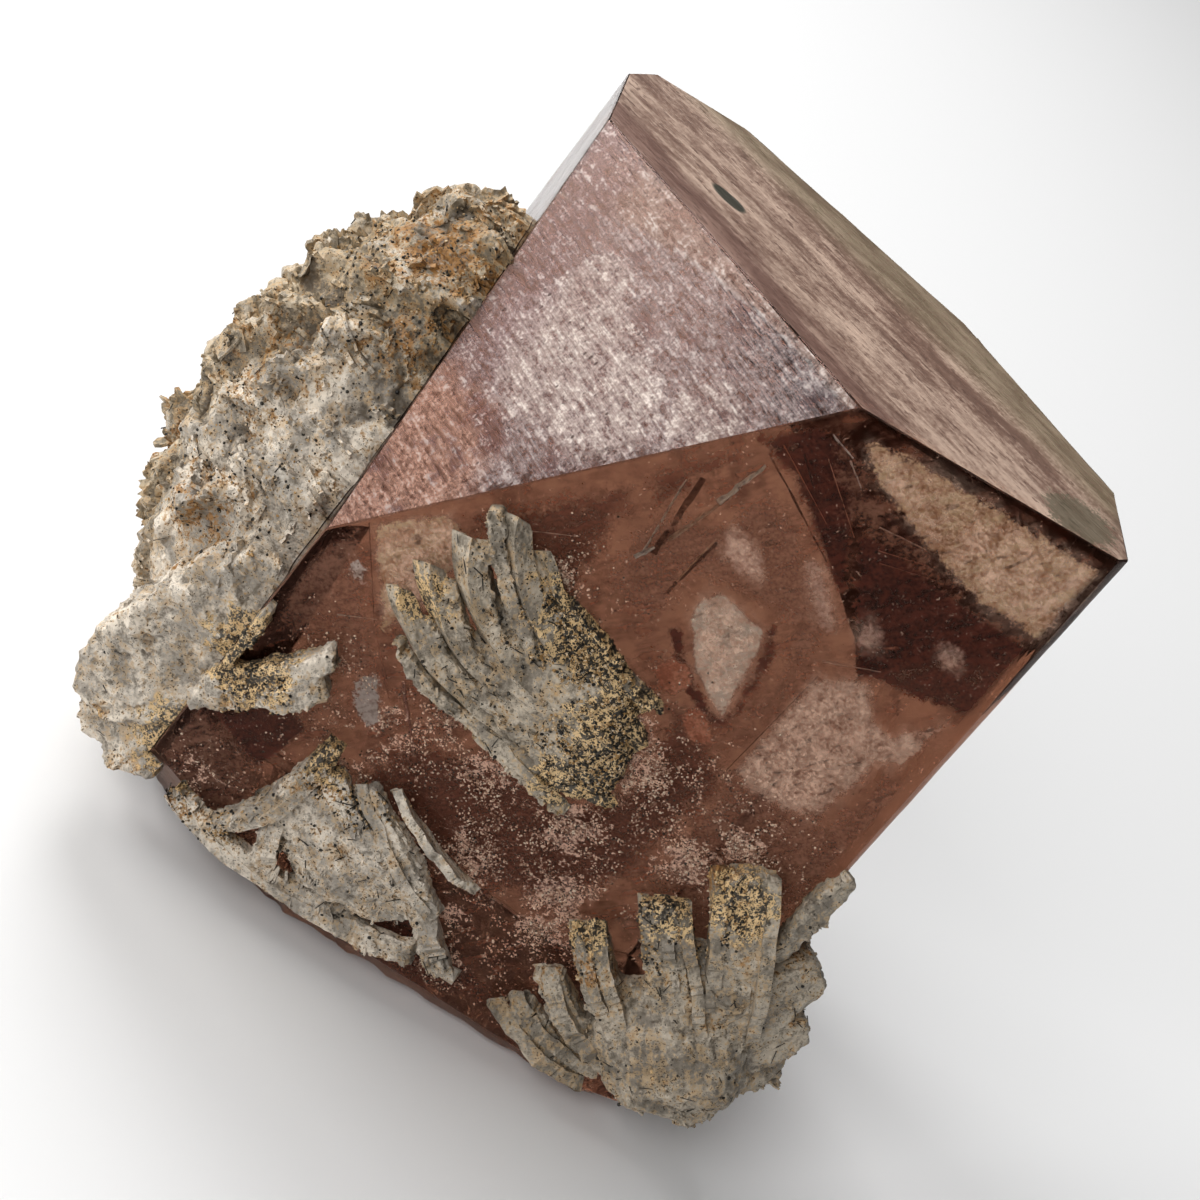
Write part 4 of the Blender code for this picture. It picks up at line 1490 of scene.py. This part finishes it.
LOWER_PLATES = (
    (((-6.8, 12.5), (-7.1, 9.4), (-7.8, 6.4), (-9.8, 3.8)), 1.3, 0.9, 0.5),
    (((-11.9, 4.2), (-9.0, 2.7), (-6.0, 2.4), (-2.2, 2.5), (0.5, 2.3)), 0.9, 1.0, 0.3),
    (((-6.0, 10.6), (-2.3, 7.9), (1.8, 6.6)), 1.4, 1.0, 0.4),
    (((-4.1, 10.9), (-1.0, 8.8), (2.4, 6.0)), 1.1, 0.9, 0.4),
    (((-2.8, 11.4), (0.4, 9.6), (3.4, 8.6)), 0.9, 0.8, 0.3),
    (((-6.6, 8.2), (-4.7, 5.9), (-2.6, 4.6), (0.4, 4.3)), 1.2, 0.9, 0.4),
    (((1.4, 6.2), (3.2, 4.4), (4.6, 2.8)), 1.0, 1.0, 0.2),
    (((-1.6, 2.0), (0.8, 2.4), (3.2, 3.0)), 0.9, 1.1, 0.2),
    (((-7.4, 7.0), (-6.8, 4.6), (-6.3, 2.6)), 1.0, 0.9, 0.3),
)
CORNER_PLATES = (
    (((8.6, 7.0), (11.5, 4.9), (14.8, 3.6)), 1.3, 2.3, 0.4),
    (((8.7, 10.9), (11.3, 8.2), (15.4, 5.2)), 1.7, 2.6, 0.5),
    (((10.8, 14.7), (13.6, 11.4), (16.8, 7.2)), 1.9, 2.9, 0.5),
    (((13.9, 13.8), (16.2, 11.2), (17.9, 8.9)), 1.5, 2.2, 0.4),
    (((13.3, 19.1), (15.8, 15.2), (18.0, 9.8)), 1.7, 2.7, 0.4),
    (((8.3, 4.3), (11.0, 3.0), (14.0, 2.4)), 1.0, 2.1, 0.3),
)


class TOPAZ_OT_front_clusters(bpy.types.Operator):
    """Grow the two clusters of albite on the front face"""

    bl_idname = "topaz.front_clusters"
    bl_label = "Front clusters"

    def execute(self, context):
        settings = context.scene.albite_settings
        voxel = settings.grain / MM * 0.65
        centre = [(260, 71, (0.3, 0.7), (0.2, 0.6), (0.05, 0.12), lean_from((3.0, -5.6, 20.0), 1.2), anywhere)]
        stone = albite_material("centre_albite", settings, 1.3, 0.35, 1.2)
        grow_cluster("centre_cluster", "albite_centre", voxel, low_relief, centre, stone, CENTRE_PLATES)
        lower = [(260, 81, (0.4, 0.9), (0.2, 0.6), (0.06, 0.16), lean_from((-6.0, -6.0, 12.0), 1.4), anywhere)]
        stone = albite_material("lower_albite", settings, 0.9, 0.10, 1.5)
        grow_cluster("lower_cluster", "albite_lower", voxel, low_relief, lower, stone, LOWER_PLATES)
        return {"FINISHED"}


class TOPAZ_OT_corner_cluster(bpy.types.Operator):
    """Grow the hand of thick albite laths at the front right foot"""

    bl_idname = "topaz.corner_cluster"
    bl_label = "Corner cluster"

    def execute(self, context):
        settings = context.scene.albite_settings
        voxel = settings.grain / MM * 0.75
        small = [(240, 91, (0.3, 0.8), (0.3, 0.7), (0.06, 0.14), lean_from((17.6, -3.8, 4.0), 1.0), anywhere)]
        stone = albite_material("corner_albite", settings, 0.9, 0.30, 1.05)
        grow_cluster("corner_cluster", "albite_corner", voxel, low_relief, small, stone, CORNER_PLATES)
        return {"FINISHED"}


def crust_spots(count, seed, patchiness):
    """Seeded places on the front face where crust grew in ragged patches."""
    draw = random.Random(seed)
    spots = []
    while len(spots) < count:
        x, z, reach, dense = CRUST_SPOTS[draw.randrange(len(CRUST_SPOTS))]
        if draw.random() > dense:
            continue
        far = abs(draw.gauss(0.0, 0.9)) * reach
        turn = draw.uniform(0.0, 2.0 * math.pi)
        spot = on_front(x + far * math.cos(turn), z + far * math.sin(turn))
        if noise.fractal(spot * 0.8, 0.9, 2.2, 4) < patchiness:
            continue
        if max(normal.dot(spot) - distance for normal, distance in FACE_NORMALS[1:]) > -0.2 or spot.z < 0.5:
            continue
        spots.append(spot)
    return spots


def crust_material(name, dark, light):
    """Tan, ochre and white grains."""
    sheet = Sheet(name)
    patch = sheet.noise(1.3, 2.0, 0.74)
    fine = sheet.noise(6.0, 1.0, 0.7)
    colour = sheet.blend((patch + (fine - 0.5) * 0.8).over(0.38, 0.62), dark, light)
    colour = sheet.blend(fine.over(0.54, 0.66) * 0.8, colour, (0.64, 0.56, 0.45))
    colour = sheet.blend((1.0 - fine.over(0.30, 0.42)) * 0.7, colour, (0.20, 0.12, 0.06))
    return sheet.out(sheet.principled(Base_Color=colour, Roughness=0.6))


def dark_material():
    """Black and dark green mineral specks."""
    sheet = Sheet("dark_grains")
    patch = sheet.noise(2.4, 2.0, 0.5)
    colour = sheet.blend(patch.over(0.4, 0.6), (0.012, 0.010, 0.008), (0.045, 0.038, 0.026))
    return sheet.out(sheet.principled(Base_Color=colour, Roughness=0.45))


# Where grains cling to the clusters: the cluster, the middle of the place, its reach, and how many grains.
SPRINKLES = (
    ("centre_cluster", Vector((5.6, -6.8, 20.6)), 4.4, 2200),
    ("centre_cluster", Vector((0.4, -6.8, 26.6)), 3.4, 1300),
    ("corner_cluster", Vector((11.8, -6.2, 15.6)), 4.2, 1100),
    ("corner_cluster", Vector((8.6, -6.4, 10.6)), 2.6, 400),
    ("lower_cluster", Vector((-4.6, -7.2, 11.8)), 3.2, 700),
    ("lower_cluster", Vector((-10.6, -7.0, 4.6)), 3.0, 400),
    ("rosette", Vector((-11.4, -8.0, 13.6)), 3.0, 600),
    ("rosette", Vector((-14.6, 0.0, 31.0)), 6.5, 900),
    ("rosette", Vector((-18.0, -3.0, 21.0)), 6.5, 800),
)


def grain_places(name, middle, reach, count, draw):
    """Seeded places on a finished cluster near a middle, each with its outward direction, in millimetres."""
    piece = bpy.data.objects[name]
    near = [
        (TO_CRYSTAL @ vert.co, vert.normal.copy())
        for vert in piece.data.vertices
        if (TO_CRYSTAL @ vert.co - middle).length < reach
    ]
    places = []
    for spot, normal in draw.choices(near, k=count):
        thinned = noise.fractal(spot * 0.9, 0.7, 2.2, 3) + (spot - middle).length / reach * 0.5
        if outside(spot) > 0.1 and thinned < 0.45:
            places.append((spot, normal))
    return places


def add_grain(mesh, shapes, spot, normal, size, draw):
    """One angular grain that lies on a surface."""
    along = Vector([draw.uniform(-1.0, 1.0) for _ in range(3)])
    scale = (size * draw.uniform(0.8, 1.5), size, size * 0.7)
    stamp(mesh, shapes[draw.randrange(len(shapes))], pose_of(spot + normal * (size * 0.1), along, normal, scale))


class TOPAZ_OT_crust(bpy.types.Operator):
    """Scatter the pale crust over the front face and the clusters"""

    bl_idname = "topaz.crust"
    bl_label = "Crust"

    def execute(self, context):
        draw = random.Random(17)
        shapes = [grain_shape(number) for number in range(6)]
        out = direction(*FRONT_PRISM[:2])
        film = bmesh.new()
        for spot in crust_spots(9600, 5, 0.02):
            add_grain(film, shapes, spot, out, draw.uniform(0.04, 0.15), draw)
        film = new_object(film, "crust")
        finish_piece(film, [crust_material("crust_grains", (0.26, 0.145, 0.10), (0.60, 0.42, 0.32))], smooth=False)
        grains = bmesh.new()
        for name, middle, reach, count in SPRINKLES:
            for spot, normal in grain_places(name, middle, reach, count, draw):
                add_grain(grains, shapes, spot, normal, draw.uniform(0.06, 0.20), draw)
        grains = new_object(grains, "cluster_grains")
        stone = crust_material("cluster_grains", (0.38, 0.24, 0.10), (0.52, 0.39, 0.24))
        finish_piece(grains, [stone], smooth=False)
        return {"FINISHED"}


class TOPAZ_OT_dark_grains(bpy.types.Operator):
    """Scatter the black specks and needles"""

    bl_idname = "topaz.dark_grains"
    bl_label = "Dark grains"

    def execute(self, context):
        draw = random.Random(29)
        shapes = [grain_shape(20 + number) for number in range(4)]
        needle = needle_shape()
        out = direction(*FRONT_PRISM[:2])
        mesh = bmesh.new()
        for spot in crust_spots(1500, 8, -0.1):
            add_grain(mesh, shapes, spot, out, draw.uniform(0.05, 0.12), draw)
        for name, middle, reach, count in SPRINKLES:
            for spot, normal in grain_places(name, middle, reach * 0.9, count * 3 // 4, draw):
                add_grain(mesh, shapes, spot, normal, draw.uniform(0.06, 0.20), draw)
        for name, count in (("rosette", 300), ("centre_cluster", 420), ("lower_cluster", 240), ("corner_cluster", 320)):
            piece = bpy.data.objects[name]
            verts = piece.data.vertices
            for _ in range(count):
                vert = verts[draw.randrange(len(verts))]
                spot = TO_CRYSTAL @ vert.co
                if outside(spot) < 0.3:
                    continue
                if draw.random() < 0.45:
                    along = Vector([draw.uniform(-1, 1) for _ in range(3)])
                    along -= vert.normal * along.dot(vert.normal)
                    length = draw.uniform(0.3, 0.9)
                    pose = pose_of(spot + vert.normal * 0.04, along, vert.normal, (length, 0.06, 0.06))
                    stamp(mesh, needle, pose)
                else:
                    size = draw.uniform(0.08, 0.26)
                    pose = pose_of(spot, Vector((1.0, 0.2, 0.3)), vert.normal, (size, size, size * 0.8))
                    stamp(mesh, shapes[draw.randrange(4)], pose)
        finish_piece(new_object(mesh, "dark_grains"), [dark_material()], smooth=False)
        return {"FINISHED"}


def floor_material(colour):
    """Plain pale paper."""
    sheet = Sheet("floor_paper")
    return sheet.out(sheet.principled(Base_Color=(*colour, 1.0), Roughness=0.8))


def add_light(name, place, aim, size, power, colour=(1.0, 1.0, 1.0)):
    """A soft square light."""
    data = bpy.data.lights.new(name, "AREA")
    data.shape = "RECTANGLE"
    data.size = size[0]
    data.size_y = size[1]
    data.energy = power
    data.color = colour
    light = bpy.data.objects.new(name, data)
    bpy.context.scene.collection.objects.link(light)
    light.location = place
    light.rotation_euler = (Vector(aim) - Vector(place)).to_track_quat("-Z", "Y").to_euler()
    return light


def light_room(strength):
    """A pale room, even all round."""
    world = bpy.data.worlds.new("room")
    bpy.context.scene.world = world
    world.use_nodes = True
    tree = world.node_tree
    tree.nodes.clear()
    out = tree.nodes.new("ShaderNodeOutputWorld")
    back = tree.nodes.new("ShaderNodeBackground")
    back.inputs["Strength"].default_value = strength
    tree.links.new(back.outputs[0], out.inputs["Surface"])


# The lights: where each stands as seen from the specimen, how far off, its size in metres and its power in watts.
LIGHTS = (
    ("key_light", (-0.42, 0.48, 0.74), 0.50, (0.22, 0.22), 1.3),
    ("side_light", (-0.85, 0.02, 0.50), 0.50, (0.25, 0.25), 1.5),
    ("front_light", (-0.34, -0.74, 0.58), 0.55, (0.32, 0.32), 1.55),
)


class TOPAZ_OT_stage(bpy.types.Operator):
    """Set the floor, the light and the camera"""

    bl_idname = "topaz.stage"
    bl_label = "Stage"

    def execute(self, context):
        settings = context.scene.stage_settings
        mesh = bmesh.new()
        bmesh.ops.create_grid(mesh, x_segments=2, y_segments=2, size=settings.floor_size / 2)
        floor = new_object(mesh, "floor")
        floor.data.materials.append(floor_material(settings.floor))
        light_room(settings.daylight)
        middle = SHIFT + Vector((0.0, 0.0, 0.02))
        for name, way, far, size, power in LIGHTS:
            light = add_light(name, middle + Vector(way) * far, middle, size, power)
            light.visible_camera = False
        data = bpy.data.cameras.new("camera")
        data.sensor_width = 36.0
        data.lens = LENS
        data.clip_start = 0.01
        data.clip_end = 20.0
        camera = bpy.data.objects.new("camera", data)
        context.scene.collection.objects.link(camera)
        back = Vector((0.0, -math.cos(LOOK_DOWN), math.sin(LOOK_DOWN)))
        level = Vector((1.0, 0.0, 0.0))
        upright = back.cross(level)
        right = level * math.cos(ROLL) + upright * math.sin(ROLL)
        up = upright * math.cos(ROLL) - level * math.sin(ROLL)
        turn = Matrix((right, up, back)).transposed().to_4x4()
        camera.matrix_world = Matrix.Translation(TO_FRAME @ EYE) @ turn
        context.scene.camera = camera
        context.scene.view_settings.view_transform = "Standard"
        context.scene.view_settings.gamma = CONTRAST
        return {"FINISHED"}


class TOPAZ_PT_panel(bpy.types.Panel):
    """The parts of the specimen and their settings"""

    bl_label = "Topaz with albite"
    bl_idname = "TOPAZ_PT_panel"
    bl_space_type = "VIEW_3D"
    bl_region_type = "UI"
    bl_category = "Topaz"

    def draw(self, context):
        column = self.layout.column()
        for operator in OPERATORS:
            column.operator(operator.bl_idname)
        for settings in (context.scene.topaz_settings, context.scene.albite_settings, context.scene.stage_settings):
            box = self.layout.box()
            for name in settings.bl_rna.properties.keys():
                if name not in ("rna_type", "name"):
                    box.prop(settings, name)


OPERATORS = (
    TOPAZ_OT_crystal,
    TOPAZ_OT_inclusions,
    TOPAZ_OT_rosette,
    TOPAZ_OT_front_clusters,
    TOPAZ_OT_corner_cluster,
    TOPAZ_OT_crust,
    TOPAZ_OT_dark_grains,
    TOPAZ_OT_stage,
)
CLASSES = (TopazSettings, AlbiteSettings, StageSettings, *OPERATORS, TOPAZ_PT_panel)


def register():
    for kind in CLASSES:
        bpy.utils.register_class(kind)
    bpy.types.Scene.topaz_settings = bpy.props.PointerProperty(type=TopazSettings)
    bpy.types.Scene.albite_settings = bpy.props.PointerProperty(type=AlbiteSettings)
    bpy.types.Scene.stage_settings = bpy.props.PointerProperty(type=StageSettings)


def unregister():
    del bpy.types.Scene.stage_settings
    del bpy.types.Scene.albite_settings
    del bpy.types.Scene.topaz_settings
    for kind in reversed(CLASSES):
        bpy.utils.unregister_class(kind)


def write_sizes():
    """Brings the scene up to date."""
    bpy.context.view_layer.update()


def main():
    register()
    bpy.ops.topaz.crystal()
    bpy.ops.topaz.inclusions()
    bpy.ops.topaz.rosette()
    bpy.ops.topaz.front_clusters()
    bpy.ops.topaz.corner_cluster()
    bpy.ops.topaz.crust()
    bpy.ops.topaz.dark_grains()
    bpy.ops.topaz.stage()
    write_sizes()


if __name__ == "__main__":
    main()
